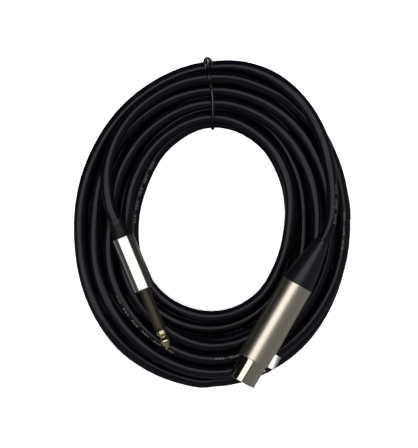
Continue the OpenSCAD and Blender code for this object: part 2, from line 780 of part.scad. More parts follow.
// Plate behind the collar, with a tail and a band clamped round the jacket.
module jack_ground_lug() {
    color("#b8b8b4") in_jack() difference() {
        union() {
            rod_x(lug_x, collar_back_x, lug_r);
            block([clamp_x, -lug_tail_w / 2, tail_top_z - lug_t],
                [collar_back_x, lug_tail_w / 2, tail_top_z]);
            difference() {
                rod_x(clamp_x, clamp_x + clamp_w, clamp_r);
                block([clamp_x - 1, -1.6, 0], [clamp_x + clamp_w + 1, 1.6, barrel_r]);
            }
        }
        rod_x(clamp_x - 1, clamp_x + clamp_w + 1, clamp_bore_r);
        rod_x(lug_x - 1, collar_back_x + 1, sleeve_bore_d / 2);
    }
}

// Thin tube between the solder joints and the barrel.
module jack_liner() {
    color("#d9d4c4") in_jack() tube_x(liner_x, washer_x, liner_r, liner_bore_r);
}

module jack_wire_tip() {
    x0 = jack_strip_x;
    z1 = tip_tail_z + core_r + tube_gap;
    color("#b0372e") in_jack() wire([
        [x0, 0, core_r + 0.2], [x0 + wire_bend, 0, core_r + 0.4],
        [tip_tail_x - wire_bend, 0, z1 - 0.3], [tip_tail_x - 0.3, 0, z1],
        [tip_tail_x + joint_len, 0, z1]
    ]);
}

module jack_wire_shield() {
    x0 = jack_strip_x;
    x1 = x0 + shield_reach + wire_bend;
    z1 = tail_top_z + core_r + tube_gap;
    color("#b98c5a") in_jack() wire([
        [x0, 0, -core_r - 0.2], [x0 + wire_bend, 0, -core_r - 0.4],
        [x0 + shield_reach, 0, z1 + 0.2], [x1, 0, z1], [x1 + joint_len, 0, z1]
    ]);
}

// ---- tie ----

// The tie lies in an upright plane, turned a little from the radial line.
tie_x = 6;
tie_turn = 6;
tie_side = tie_x * cos(tie_turn);
tie_lead_places = [[86.6, 11.9], [80.8, 16.45]];

function tie_cross(k) = k + (asin(tie_side / coil_r(k)) - tie_turn) / 360;

function tie_place(t) = [
    sqrt(coil_r(t) * coil_r(t) - tie_side * tie_side) + tie_x * sin(tie_turn), coil_z(t)
];

tie_places = concat([for (k = [1:floor(end_turn)]) tie_place(tie_cross(k))], tie_lead_places);

// The two ends, twisted together and folded over outside the bundle.
twist_points = [
    [-3.3, 88.9, 14.7], [-3.9, 90, 16], [-3.6, 91.1, 17], [-2.4, 91.9, 17.4],
    [-0.8, 91.6, 17], [0.4, 91, 16.4], [1.6, 90.6, 15.8]
];
twist_deg = 70;

module strands_outline(grow) {
    hull() for (p = tie_places) translate(p) circle(r = cable_r + grow, $fn = 24);
}

// A flat bar's ring: its section turns as it goes along.
function bar_ring(c, dir, turn, w, t) =
    let (
        u = unit(cross(dir, [0, 0, 1])), v = cross(u, dir),
        a = cos(turn) * u + sin(turn) * v, b = cos(turn) * v - sin(turn) * u
    )
    [for (q = [[1, 1], [-1, 1], [-1, -1], [1, -1]]) c + a * q[0] * w / 2 + b * q[1] * t / 2];

// Flat tie hugging all the strands, its two ends twisted together outside.
module tie() {
    dirs = travel(twist_points, [0, 0.7, 0.7], [1, -0.3, -0.4]);
    m = len(twist_points);
    color("#0c0c0e") union() {
        translate([tie_x, 0, 0]) rotate([0, 0, tie_turn]) rotate([90, 0, 90])
            translate([0, 0, -tie_w / 2]) linear_extrude(tie_w) difference() {
                strands_outline(tie_gap + tie_t);
                strands_outline(tie_gap);
            }
        skin([
            for (i = [0:m - 1])
            each bar_ring(twist_points[i], dirs[i], i * twist_deg, tie_w, 2 * tie_t)
        ], m, 4);
    }
}

// ---- assembly ----

cable_coil();
xlr_lead();
jack_lead();
xlr_shell();
xlr_insert();
xlr_contact_1();
xlr_contact_2();
xlr_contact_3();
xlr_latch();
xlr_latch_pin();
xlr_latch_spring();
xlr_insert_screw();
xlr_chuck();
xlr_boot();
xlr_wire_shield();
xlr_wire_hot();
xlr_wire_cold();
jack_barrel();
jack_boot();
jack_sleeve();
jack_insulator();
jack_tip();
jack_washer();
jack_tip_lug();
jack_ground_lug();
jack_liner();
jack_wire_tip();
jack_wire_shield();
tie();
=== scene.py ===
import math

import bmesh
import bpy
from mathutils import Matrix, Vector


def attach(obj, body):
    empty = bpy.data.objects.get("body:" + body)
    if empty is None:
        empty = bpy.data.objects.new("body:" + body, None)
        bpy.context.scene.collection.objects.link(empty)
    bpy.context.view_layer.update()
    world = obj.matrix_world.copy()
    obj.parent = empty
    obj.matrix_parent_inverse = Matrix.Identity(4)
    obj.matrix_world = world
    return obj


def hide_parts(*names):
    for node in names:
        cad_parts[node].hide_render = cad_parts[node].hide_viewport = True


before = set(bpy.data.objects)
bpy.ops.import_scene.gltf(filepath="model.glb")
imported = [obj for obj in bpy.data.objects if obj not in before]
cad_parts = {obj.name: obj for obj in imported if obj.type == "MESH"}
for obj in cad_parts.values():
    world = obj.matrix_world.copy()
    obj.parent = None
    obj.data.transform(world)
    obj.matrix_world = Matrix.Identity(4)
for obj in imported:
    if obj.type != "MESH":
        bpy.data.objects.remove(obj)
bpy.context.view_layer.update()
MM = 0.001


# ---- camera: a long lens straight above the coil, with +Y up the picture ----

CAMERA_AT = (-0.00168, -0.00112, 1.404)
LENS, SENSOR_W, SEES_TO = 200, 36, 10

camera = bpy.data.objects.new("camera", bpy.data.cameras.new("camera"))
bpy.context.scene.collection.objects.link(camera)
camera.data.lens = LENS
camera.data.sensor_width = SENSOR_W
camera.data.clip_end = SEES_TO
camera.location = CAMERA_AT
bpy.context.scene.camera = camera


# ---- cable: 4 m of microphone cable in a black PVC jacket, extruded round its cores.
# It is wound by hand into eight loops that lie in two layers, with a lead over them to
# each connector, and its lowest strands rest flat on the table ----

CABLE_D, STRAND_GAP, REST_FLAT = 6.7, 0.45, 0.67
CABLE_R = CABLE_D / 2
PITCH = CABLE_D + STRAND_GAP
LOW_Z = CABLE_R - REST_FLAT
TOP_Z = LOW_Z + PITCH
# The loops spiral in through the upper layer, then reverse, go down and spiral out.
START_TURN, END_TURN = 0.25, 8.5
REVERSE_TURN, REVERSE_SPAN = 2.85, 0.75
DOWN_TURN, DOWN_SPAN = 3.25, 0.5
# Each loop changes its lane in this part of its turn.
LOW_FIRST_TURN, LANE_START, LANE_SPAN = 4, 0.08, 0.42
# They arch up a little under the tie.
LIFT_H, LIFT_SPAN = 1.85, 0.1
# Every 30 degrees of the ring, clockwise from the tie: the radius of its hole, its width
# in strands, the lanes in the lower layer, and the upper layer's first lane and its step.
INNER_R = [53, 50.5, 43.5, 38.5, 40.5, 46.5, 49.5, 48.5, 44.5, 41, 41.5, 47.5]
BAND_W = [5.1, 5.4, 5.1, 5.45, 5.8, 5.95, 6.15, 5.85, 5.3, 5.05, 5.2, 5.05]
LOW_LANES = [4.06, 4.12, 4.13, 4.42, 4.75, 4.95, 5.08, 4.85, 4.35, 4.08, 4.12, 4.06]
TOP_LANE = [0.83, 0.84, 1.03, 1.06, 1.02, 0.96, 0.95, 0.91, 0.93, 0.95, 1, 0.95]
TOP_STEP = [0.24, 0.24, 0.25, 0.23, 0.22, 0.21, 0.2, 0.22, 0.25, 0.3, 0.3, 0.28]
# Where each connector's boot has its mouth, and which way it points.
XLR_AT, XLR_TURN = Vector((61.3, -10.5, 22.63)), math.radians(240)
JACK_AT, JACK_TURN = Vector((-54, 1.5, 19.93)), math.radians(-67.5)
# The leads lie as they fell, so their points are listed.
XLR_LEAD = [
    (-18.5, -87.5, 3.4), (-30, -83.2, 5.2), (-41, -76.8, 7.4), (-51, -68.5, 9.2),
    (-60.5, -56, 9.9), (-67.5, -42, 9.9), (-72, -26.5, 9.9), (-74, -9, 9.9),
    (-73.5, 8, 9.9), (-70.5, 23.5, 9.9), (-65, 38, 9.9), (-57, 52, 9.9),
    (-46.5, 64.5, 10), (-33.5, 74.7, 10.6), (-20, 81.8, 11.4), (-8, 85.5, 11.8),
    (3, 86.9, 12), (13, 87, 12), (23, 85.2, 12.4), (32.5, 81.5, 14),
    (41, 75.8, 15.8), (49, 68, 17), (56.5, 57.5, 17.1), (62.1, 45.3, 17.2),
    (65.2, 33, 17.9), (66.7, 21.5, 19.2), (67, 12, 20.7), (66.6, 4.6, 21.8),
    (65.5, -1.4, 22.4),
]
JACK_LEAD = [
    (-58.5, 18, 19.1), (-58.8, 28, 18), (-56, 40, 17.1), (-50.5, 51.5, 17.1),
    (-42.5, 62, 17.1), (-32.5, 70, 17.1), (-21, 76.3, 17), (-9, 79.8, 16.6),
    (2.5, 80.8, 16.3), (12.5, 80, 15.6), (21.5, 77.6, 13.8), (31, 73.8, 12.3),
    (40.3, 69.2, 10.8), (48.3, 62.6, 9.9), (56, 55.3, 9.9), (62, 47.2, 9.9),
    (66.5, 37.8, 9.9), (70.3, 27.5, 9.9), (72.7, 17, 9.9),
]
# Where the cable has points on each connector's axis; below 0 they are outside its boot.
IN_XLR_BOOT = (-4.5, 0, 12, 24, 36)
IN_JACK_BOOT = (22, 11, 0, -7)
LOOP_RINGS, LEAD_STEP, JACKET_SIDES = 72, 4, 28
# A UV runs along its piece in units of this many millimetres, and once round it.
UV_MM = 100
# Edges bent by more than this many degrees stay sharp, the second where a piece itself
# is bent along its length.
SHARP_EDGE, SHARP_IF_BENT = 35, 50
# Most values of a noise lie between these.
NOISE_LOW, NOISE_HIGH = 0.3, 0.7


def smooth(x):
    """Eases from 0 to 1."""
    c = max(0.0, min(1.0, x))
    return c * c * (3 - 2 * c)


def spline(p, q, r, s, u):
    """A smooth step by a share u from q to r, with p before them and s after."""
    return 0.5 * (2 * q + (r - p) * u + (2 * p - 5 * q + 4 * r - s) * u * u
                  + (3 * q - p - 3 * r + s) * u * u * u)


def round_ring(values, turn):
    """A smooth value between those given at equal steps round the ring."""
    n = len(values)
    x = (turn % 1.0) * n
    i = int(x)
    return spline(values[i - 1], values[i % n], values[(i + 1) % n], values[(i + 2) % n], x - i)


def lane(turn):
    """How far across the band a loop lies, 0 at its inner edge and 1 at its outer."""
    changed = smooth((turn % 1.0 - LANE_START) / LANE_SPAN)
    low = (math.floor(turn) - LOW_FIRST_TURN + changed) / round_ring(LOW_LANES, turn)
    top = round_ring(TOP_LANE, turn) - turn * round_ring(TOP_STEP, turn)
    share = smooth((turn - REVERSE_TURN) / REVERSE_SPAN)
    return (1 - share) * top + share * low


def coil_at(turn):
    """The middle of the cable after this many turns of the coil."""
    r = (round_ring(INNER_R, turn) + CABLE_R
         + lane(turn) * (round_ring(BAND_W, turn) * PITCH - CABLE_D))
    z = TOP_Z + (LOW_Z - TOP_Z) * smooth((turn - DOWN_TURN) / DOWN_SPAN)
    z += LIFT_H * (1 - smooth(abs((turn + 0.5) % 1.0 - 0.5) / LIFT_SPAN))
    a = 2 * math.pi * turn
    return Vector((r * math.sin(a), r * math.cos(a), z))


def through(points, step):
    """A smooth line through the points, with its own points about step apart."""
    line = []
    for i in range(len(points) - 1):
        p, q = points[max(i - 1, 0)], points[i]
        r, s = points[i + 1], points[min(i + 2, len(points) - 1)]
        n = max(1, round((r - q).length / step))
        line += [spline(p, q, r, s, k / n) for k in range(n)]
    return line + [points[-1]]


def along(at, turn, x):
    """A point on a connector's axis, x from its boot's mouth."""
    return at + Vector((math.cos(turn), math.sin(turn), 0)) * x


def travel(line, i):
    """The direction of a line at one of its points."""
    return (line[min(i + 1, len(line) - 1)] - line[max(i - 1, 0)]).normalized()


def section_axes(direction):
    """Sideways and upward unit vectors of a section across the direction."""
    side = direction.cross(Vector((0, 0, 1))).normalized()
    return side, side.cross(direction).normalized()


def lin(code):
    """A linear colour from a six-digit sRGB code."""
    rgb = [int(code[i:i + 2], 16) / 255 for i in (0, 2, 4)]
    return [c / 12.92 if c <= 0.04045 else ((c + 0.055) / 1.055) ** 2.4 for c in rgb] + [1]


def add(tree, kind, settings=None, links=None):
    """Adds a node. settings holds its own properties and its sockets' values, and links
    the outputs that feed its sockets; a socket is told by its name or its number."""
    node = tree.nodes.new(kind)
    for key, value in (settings or {}).items():
        if str(key) in node.bl_rna.properties:
            setattr(node, key, value)
        else:
            node.inputs[key].default_value = value
    for key, outputs in (links or {}).items():
        for output in outputs if isinstance(outputs, list) else [outputs]:
            tree.links.new(output, node.inputs[key])
    return node


def finish(name, dark, light, rough, patch, grain, relief, shading=None):
    """A finish whose colour drifts from dark to light over patches, while its roughness
    and relief follow a grain. patch, grain and relief are in millimetres."""
    mat = bpy.data.materials.new(name)
    mat.use_nodes = True
    tree = mat.node_tree
    tree.nodes.clear()
    place = add(tree, "ShaderNodeTexCoord").outputs["Object"]
    drift = add(tree, "ShaderNodeTexNoise", {"Scale": 1 / (patch * MM), "Detail": 4},
                {"Vector": place})
    fine = add(tree, "ShaderNodeTexNoise",
               {"Scale": 1 / (grain * MM), "Detail": 6, "Roughness": 0.65}, {"Vector": place})
    tone = add(tree, "ShaderNodeMix", {"data_type": "RGBA", "A": lin(dark), "B": lin(light)},
               {"Factor": drift.outputs["Fac"]})
    spread = add(tree, "ShaderNodeMapRange",
                 {"From Min": NOISE_LOW, "From Max": NOISE_HIGH,
                  "To Min": rough[0], "To Max": rough[1]},
                 {"Value": fine.outputs["Fac"]})
    bump = add(tree, "ShaderNodeBump", {"Strength": 0.6, "Distance": relief * MM},
               {"Height": fine.outputs["Fac"]})
    shader = add(tree, "ShaderNodeBsdfPrincipled", shading, {
        "Base Color": tone.outputs["Result"], "Roughness": spread.outputs["Result"],
        "Normal": bump.outputs["Normal"]})
    add(tree, "ShaderNodeOutputMaterial", {}, {"Surface": shader.outputs["BSDF"]})
    return mat


def shade(mesh, sharp):
    """Smooth shading, except at edges sharper than an angle in degrees."""
    mesh.shade_smooth()
    mesh.set_sharp_from_angle(angle=math.radians(sharp))


def piece_from(name, bm, mat, sharp=SHARP_EDGE):
    """A piece from a bmesh in metres, smooth except at edges sharper than an angle."""
    bmesh.ops.recalc_face_normals(bm, faces=bm.faces)
    mesh = bpy.data.meshes.new(name)
    bm.to_mesh(mesh)
    bm.free()
    mesh.materials.append(mat)
    shade(mesh, sharp)
    piece = bpy.data.objects.new(name, mesh)
    bpy.context.scene.collection.objects.link(piece)
    return piece


coil_line = [coil_at(START_TURN + i / LOOP_RINGS)
             for i in range(round((END_TURN - START_TURN) * LOOP_RINGS) + 1)]
coil_in = coil_line[0] - (coil_line[1] - coil_line[0]).normalized() * CABLE_D
coil_out = coil_line[-1] + (coil_line[-1] - coil_line[-2]).normalized() * CABLE_D
jack_lead = ([along(JACK_AT, JACK_TURN, x) for x in IN_JACK_BOOT]
             + [Vector(p) for p in JACK_LEAD] + [coil_in, coil_line[0]])
xlr_lead = ([coil_line[-1], coil_out] + [Vector(p) for p in XLR_LEAD]
            + [along(XLR_AT, XLR_TURN, x) for x in IN_XLR_BOOT])
cable_line = through(jack_lead, LEAD_STEP)[:-1] + coil_line[:-1] + through(xlr_lead, LEAD_STEP)
cable_reach = [0.0]
for here, there in zip(cable_line, cable_line[1:]):
    cable_reach.append(cable_reach[-1] + (there - here).length)

bm = bmesh.new()
uv = bm.loops.layers.uv.verify()
rings = []
for i, centre in enumerate(cable_line):
    side, up = section_axes(travel(cable_line, i))
    ring = []
    for k in range(JACKET_SIDES):
        a = 2 * math.pi * k / JACKET_SIDES
        p = centre + (side * math.cos(a) + up * math.sin(a)) * CABLE_R
        p.z = max(p.z, 0.0)
        ring.append(bm.verts.new(p * MM))
    rings.append(ring)
for i in range(len(rings) - 1):
    for k in range(JACKET_SIDES):
        m = (k + 1) % JACKET_SIDES
        face = bm.faces.new((rings[i][k], rings[i][m], rings[i + 1][m], rings[i + 1][k]))
        for loop, (j, v) in zip(face.loops, ((i, k), (i, k + 1), (i + 1, k + 1), (i + 1, k))):
            loop[uv].uv = (cable_reach[j] / UV_MM, v / JACKET_SIDES)
bm.faces.new(rings[0])
bm.faces.new(reversed(rings[-1]))

# Soft PVC, extruded: near black with a violet cast and a soft gloss. The faint ripple
# that the die leaves is finer than this in life, and is drawn coarser so that it shows.
jacket = finish("extruded_pvc", "06040a", "0b0a10", (0.15, 0.24), patch=28, grain=1.1,
                relief=0.006, shading={"Specular IOR Level": 0.3,
                                       "Specular Tint": (0.95, 0.92, 1, 1)})
cable = piece_from("cable", bm, jacket, SHARP_IF_BENT)
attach(cable, "cable")
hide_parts("cable_coil", "xlr_lead", "jack_lead")


# ---- XLR insert: the round block at the socket's mouth that holds the three contacts,
# moulded in glass-filled nylon and kept by a set screw that goes through the shell ----

IN_XLR = Matrix.Translation(XLR_AT) @ Matrix.Rotation(XLR_TURN, 4, "Z")


def dress(mat, *nodes):
    """Puts a finish on CAD solids that are seen in their own shape."""
    for node in nodes:
        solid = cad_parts[node]
        if not solid.data.materials:
            solid.data.materials.append(mat)
        for place in solid.material_slots:
            place.link = "OBJECT"
            place.material = mat


# Glass-filled nylon, moulded: matt near-black, with a faint pale fleck of fibre.
dress(finish("glass_filled_nylon", "0c0c0e", "121215", (0.45, 0.6), patch=11, grain=0.55,
             relief=0.02), "xlr_insert")
# Steel, turned and left plain: a cool grey with a tight gloss.
plain_steel = finish("plain_steel", "8e8e90", "9b9b9d", (0.2, 0.32), patch=6.7, grain=0.67,
                     relief=0.008, shading={"Metallic": 1})
dress(plain_steel, "xlr_insert_screw")


# ---- XLR contacts: three turned sockets, each with a solder cup at its back, pressed
# into the insert from behind ----

# Bronze, turned and tinned: pale yellow, bright, with fine tool marks.
dress(finish("tinned_bronze", "c2b17c", "cfbf8c", (0.18, 0.3), patch=5, grain=0.67,
             relief=0.006, shading={"Metallic": 1}),
      "xlr_contact_1", "xlr_contact_2", "xlr_contact_3")


# ---- XLR wires: the cable's two insulated cores and its twisted shield, stripped and
# soldered into the contacts' cups ----

# Copper, drawn and left bare: orange-brown, with the lay of its fine strands as a grain.
bare_copper = finish("bare_copper", "a2673d", "b87a4c", (0.25, 0.4), patch=4, grain=0.33,
                     relief=0.04, shading={"Metallic": 1})
# Soft PVC, extruded in red: an even colour and a low gloss.
red_core = finish("red_pvc", "8e1c16", "a0241c", (0.3, 0.42), patch=8.3, grain=0.67,
                  relief=0.01)
dress(bare_copper, "xlr_wire_shield")
dress(red_core, "xlr_wire_hot")
# The same PVC in white, a little yellowed.
dress(finish("white_pvc", "d3d1ca", "dedcd6", (0.3, 0.42), patch=8.3, grain=0.67,
             relief=0.01), "xlr_wire_cold")


# ---- XLR chuck: the split collar that the boot squeezes on the jacket as it is screwed
# in, moulded in acetal ----

# Acetal, moulded: mid grey, waxy and half matt.
dress(finish("grey_acetal", "2c2c30", "36363b", (0.35, 0.5), patch=11, grain=0.67,
             relief=0.02), "xlr_chuck")


# ---- XLR shell: the outer casting in zinc, satin on its grip and polished on its nose.
# The latch's window, the hook's slot and the set screw's hole are cut through it ----

# Lengths along the connector count from the mouth of its boot.
BOOT_LEN = 27.7
SHELL_R, SHELL_BORE, NOSE_R, NOSE_BORE = 9.2, 8.0, 7.9, 7.1
NOSE_FROM, NOSE_TO, INSERT_FROM = 76.6, 90, 66
WINDOW_X, WINDOW_HALF, WINDOW_CORNER = (67.3, 76.9), 3.8, 0.5
HOOK_SLOT_X, HOOK_SLOT_HALF, SLOT_CORNER = (75, 80.8), 1.8, 0.3
CUT_UP = (5.2, 12)
SCREW_X, SCREW_R, SCREW_DOWN = 63, 1.05, (-12, -7)
SHELL_EDGE, ROUND_SIDES = 0.12, 24
CLEAR_CORNER, SIDE_SHARE, LEAST_ROUND = math.radians(18), 0.45, 0.005


def soften(points, radius, steps=3):
    """A closed outline with each clear corner rounded; a point may be (x, r, radius)."""
    out = []
    n = len(points)
    for i, point in enumerate(points):
        p = Vector(point[:2])
        a, b = Vector(points[i - 1][:2]) - p, Vector(points[(i + 1) % n][:2]) - p
        bend = math.pi - a.angle(b)
        want = point[2] if len(point) > 2 else radius
        back = min(want * math.tan(bend / 2), SIDE_SHARE * a.length, SIDE_SHARE * b.length)
        if bend < CLEAR_CORNER or back < LEAST_ROUND:
            out.append(p)
            continue
        s, e = p + a.normalized() * back, p + b.normalized() * back
        for k in range(steps + 1):
            u = k / steps
            out.append(s * (1 - u) ** 2 + p * 2 * u * (1 - u) + e * u ** 2)
    return out


def held(outline, step=4.0, hold=0.15):
    """The closed outline with points close to both ends of each long side and no more
    than step apart, so that the shading stays straight along it."""
    out = []
    for i, p in enumerate(outline):
        out.append(p)
        q = outline[(i + 1) % len(outline)]
        length = (q - p).length
        if length < 4 * hold:
            continue
        n = math.ceil((length - 2 * hold) / step)
        out += [p.lerp(q, (hold + (length - 2 * hold) * k / n) / length) for k in range(n + 1)]
    return out


def turned(name, outline, matrix, mat, radius=0.15, segments=96, steps=3):
    """A piece turned about its X axis from a closed outline of (x, radius)."""
    outline = held(soften(outline, radius, steps))
    bm = bmesh.new()
    uv = bm.loops.layers.uv.verify()
    rings = []
    for k in range(segments):
        a = 2 * math.pi * k / segments
        rings.append([bm.verts.new(matrix @ Vector((x, r * math.cos(a), r * math.sin(a))) * MM)
                      for x, r in outline])
    n = len(outline)
    for k in range(segments):
        here, far = rings[k], rings[(k + 1) % segments]
        for i in range(n):
            j = (i + 1) % n
            if outline[i][1] < 1e-6 and outline[j][1] < 1e-6:
                continue
            face = bm.faces.new((here[i], here[j], far[j], far[i]))
            for loop, (x, v) in zip(face.loops, (
                    (outline[i][0], k), (outline[j][0], k),
                    (outline[j][0], k + 1), (outline[i][0], k + 1))):
                loop[uv].uv = (x / UV_MM, v / segments)
    bmesh.ops.remove_doubles(bm, verts=bm.verts, dist=1e-7)
    bmesh.ops.dissolve_degenerate(bm, edges=bm.edges, dist=1e-8)
    return piece_from(name, bm, mat)


def prism(bm, outline, low, high, matrix):
    """Extrudes an (x, y) outline from z low to z high, in millimetres."""
    rings = [[bm.verts.new(matrix @ Vector((p[0], p[1], z)) * MM) for p in outline]
             for z in (low, high)]
    n = len(outline)
    for k in range(n):
        m = (k + 1) % n
        bm.faces.new((rings[0][k], rings[0][m], rings[1][m], rings[1][k]))
    bm.faces.new(reversed(rings[0]))
    bm.faces.new(rings[1])


def bake(piece, sharp=SHARP_EDGE):
    """Makes the result of the piece's modifiers its own mesh."""
    graph = bpy.context.evaluated_depsgraph_get()
    mesh = bpy.data.meshes.new_from_object(piece.evaluated_get(graph))
    piece.modifiers.clear()
    piece.data = mesh
    shade(mesh, sharp)


def round_edges(piece, width):
    """Rounds the piece's sharp edges, with shading that stays flat on its faces."""
    edge = piece.modifiers.new("edges", "BEVEL")
    edge.width = width * MM
    edge.segments = 3
    edge.limit_method = "ANGLE"
    edge.angle_limit = math.radians(SHARP_EDGE)
    edge.harden_normals = True
    bake(piece)


def circle(x, y, r, sides):
    """A round outline about (x, y)."""
    return [(x + r * math.cos(2 * math.pi * k / sides), y + r * math.sin(2 * math.pi * k / sides))
            for k in range(sides)]


def window(x_range, half, corner):
    """The outline of an opening with round corners, half to each side of the axis."""
    (low, high), out = x_range, []
    for x, y, a0 in ((high - corner, half - corner, 0), (low + corner, half - corner, 90),
                     (low + corner, corner - half, 180), (high - corner, corner - half, 270)):
        for a in range(a0, a0 + 91, 15):
            out.append((x + corner * math.cos(math.radians(a)),
                        y + corner * math.sin(math.radians(a))))
    return out


# Nickel plate on a blasted zinc casting: warm grey, with one broad soft highlight. The
# blasted grain is under a tenth of a millimetre, and is drawn coarser so that it shows.
satin = finish("satin_nickel", "dcd4c2", "e4dccb", (0.27, 0.36), patch=40, grain=0.4,
               relief=0.008, shading={"Metallic": 1})
# The nose is the same plate, polished, so that it mirrors the light as a sharp band. It
# is told by its UV, from just behind its shoulder on.
NOSE_ROUGHNESS, SHOULDER = 0.07, 0.05
tree = satin.node_tree
shader = tree.nodes["Principled BSDF"]
blasted = shader.inputs["Roughness"].links[0].from_socket
lay = add(tree, "ShaderNodeUVMap").outputs["UV"]
length_on = add(tree, "ShaderNodeSeparateXYZ", {}, {"Vector": lay}).outputs["X"]
on_nose = add(tree, "ShaderNodeMath", {"operation": "GREATER_THAN",
                                       1: (NOSE_FROM - SHOULDER) / UV_MM}, {0: length_on})
polish = add(tree, "ShaderNodeMix", {"B": NOSE_ROUGHNESS},
             {"Factor": on_nose.outputs[0], "A": blasted})
tree.links.new(polish.outputs["Result"], shader.inputs["Roughness"])

shell = turned("xlr_shell_cast", [
    (BOOT_LEN, SHELL_BORE), (BOOT_LEN, SHELL_R, 0.3), (NOSE_FROM, SHELL_R, 0.35),
    (NOSE_FROM, NOSE_R, 0.2), (NOSE_TO, NOSE_R, 0.3), (NOSE_TO, NOSE_BORE, 0.25),
    (INSERT_FROM, NOSE_BORE), (INSERT_FROM, SHELL_BORE)], IN_XLR, satin, radius=0.1)
LATCH_SIDE_UP = IN_XLR @ Matrix.Rotation(math.radians(-90), 4, "X")
cutters = []
for name, outline, reach, matrix in (
        ("cut_window", window(WINDOW_X, WINDOW_HALF, WINDOW_CORNER), CUT_UP, LATCH_SIDE_UP),
        ("cut_hook", window(HOOK_SLOT_X, HOOK_SLOT_HALF, SLOT_CORNER), CUT_UP, LATCH_SIDE_UP),
        ("cut_screw", circle(SCREW_X, 0, SCREW_R, ROUND_SIDES), SCREW_DOWN, IN_XLR)):
    bm = bmesh.new()
    prism(bm, outline, *reach, matrix)
    cutters.append(piece_from(name, bm, satin))
    cut = shell.modifiers.new(name, "BOOLEAN")
    cut.object = cutters[-1]
    cut.solver = "EXACT"
bake(shell)
for cutter in cutters:
    bpy.data.objects.remove(cutter)
round_edges(shell, SHELL_EDGE)
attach(shell, "cable")
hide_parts("xlr_shell")


# ---- XLR latch: a lever with a push tab and a hook that holds the plug, bent up from
# steel and bright plated. It rocks on a pin across the shell, against a leaf spring ----

# Outlines are seen along the pin, and each is as thick as twice its half.
LEVER_HALF, EYE_R = 2.3, 1.6
EYE = (62, 5.8)
LEVER = [(62.5, 5.2), (80.2, 5.2), (80.2, 6.4), (62.5, 6.4)]
TAB_FOOT = [(68.4, 6.2), (74.9, 6.2), (74.9, 8.2), (68.4, 8.2)]
TAB = [(67.6, 8.0), (75.7, 8.0), (75.7, 12.1, 0.4), (73.9, 12.5, 0.5), (69.6, 12.35, 1),
       (67.6, 12.5, 0.4)]
HOOK = [(78, 6.2), (80.2, 6.2), (80.2, 7.6), (78.9, 8.9), (78, 8.9)]
TAB_HALF, HOOK_HALF = 3.5, 1.5
LATCH_END, TAB_TOP, LATCH_EDGE = 80.2, 12.5, 0.14
# The tab and the hook narrow a little away from the tab's front corner.
TAB_DRAFT, DRAFT_BACK, DRAFT_DOWN = 0.045, 0.6, 0.8

bm = bmesh.new()
for outline in (circle(*EYE, EYE_R, ROUND_SIDES), LEVER, TAB_FOOT):
    prism(bm, outline, -LEVER_HALF, LEVER_HALF, IN_XLR)
to_xlr = IN_XLR.inverted()
for outline, half in ((soften(TAB, 0.1, 4), TAB_HALF), (HOOK, HOOK_HALF)):
    first = len(bm.verts)
    prism(bm, outline, -half, half, IN_XLR)
    bm.verts.ensure_lookup_table()
    for vert in bm.verts[first:]:
        p = to_xlr @ (vert.co / MM)
        away = DRAFT_BACK * (LATCH_END - p.x) + DRAFT_DOWN * (TAB_TOP - p.y)
        p.z -= math.copysign(TAB_DRAFT * away * half / TAB_HALF, p.z)
        vert.co = (IN_XLR @ p) * MM
# Nickel over polished steel: nearly white, with a close soft gloss.
bright = finish("bright_nickel", "edebe5", "f3f1ec", (0.24, 0.28), patch=17, grain=1.25,
                relief=0.001, shading={"Metallic": 1})
latch = piece_from("xlr_latch_lever", bm, bright)
round_edges(latch, LATCH_EDGE)
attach(latch, "latch")
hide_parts("xlr_latch")
dress(plain_steel, "xlr_latch_pin", "xlr_latch_spring")


# ---- XLR boot: the cone round the cable, moulded in nylon, with a thread inside the
# shell. Screwing it in pushes the chuck on to the jacket ----

BOOT_BORE, BOOT_MOUTH_R, BOOT_SWELL = 3.45, 3.85, 0.7
COLLAR_FROM, COLLAR_R, COLLAR_TO = 27.68, 7.95, 31.2
CUP_R, CUP_FROM, THROAT_R, THROAT_FROM = 6.7, 24.3, 4.6, 18.8
BOOT_LIP_R, CONE_TO, BOOT_STEPS = BOOT_MOUTH_R + 0.05, BOOT_LEN - 0.1, 12
EDGE_FROM, EDGE_R, RIM_R = BOOT_LEN - 0.35, SHELL_R - 0.02, 8.75


def boot_side(u):
    """The boot's radius at a share of its length: a cone with a slight swell."""
    return BOOT_MOUTH_R + (SHELL_R - BOOT_MOUTH_R) * u + BOOT_SWELL * 4 * u * (1 - u)


# Nylon, moulded in a finely etched tool: near black, with a dull sheen.
boot_black = finish("moulded_nylon", "0a090e", "100f15", (0.24, 0.34), patch=22, grain=0.63,
                    relief=0.01, shading={"Specular IOR Level": 0.4})
xlr_boot = turned("xlr_boot_cone", [(0, BOOT_BORE, 0.2), (0, BOOT_LIP_R, 0.35)] + [
    (CONE_TO * k / BOOT_STEPS, boot_side(k / BOOT_STEPS)) for k in range(1, BOOT_STEPS)] + [
    (EDGE_FROM, EDGE_R, 0.25), (COLLAR_FROM, RIM_R, 0.1), (COLLAR_FROM, COLLAR_R),
    (COLLAR_TO, COLLAR_R), (COLLAR_TO, CUP_R), (CUP_FROM, CUP_R), (THROAT_FROM, THROAT_R),
    (THROAT_FROM, BOOT_BORE)], IN_XLR, boot_black)
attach(xlr_boot, "xlr_boot")
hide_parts("xlr_boot")


# ---- jack tip: one brass rod from its solder end to its blunt cone, turned with a neck
# that the socket's spring drops into, and gilt ----

IN_JACK = Matrix.Translation(JACK_AT) @ Matrix.Rotation(JACK_TURN, 4, "Z")
PLUG_R = 3.175
TIP_FROM, TIP_TO, ROD_FROM, ROD_R = 66.8, 77.8, 33.7, 1.15
RIVET_R, RIVET_LEN, TIP_BACK_R, TIP_BEVEL = 1.55, 0.5, 3.0, 0.3
POINT_FROM, POINT_R = TIP_TO - 0.25, 0.75
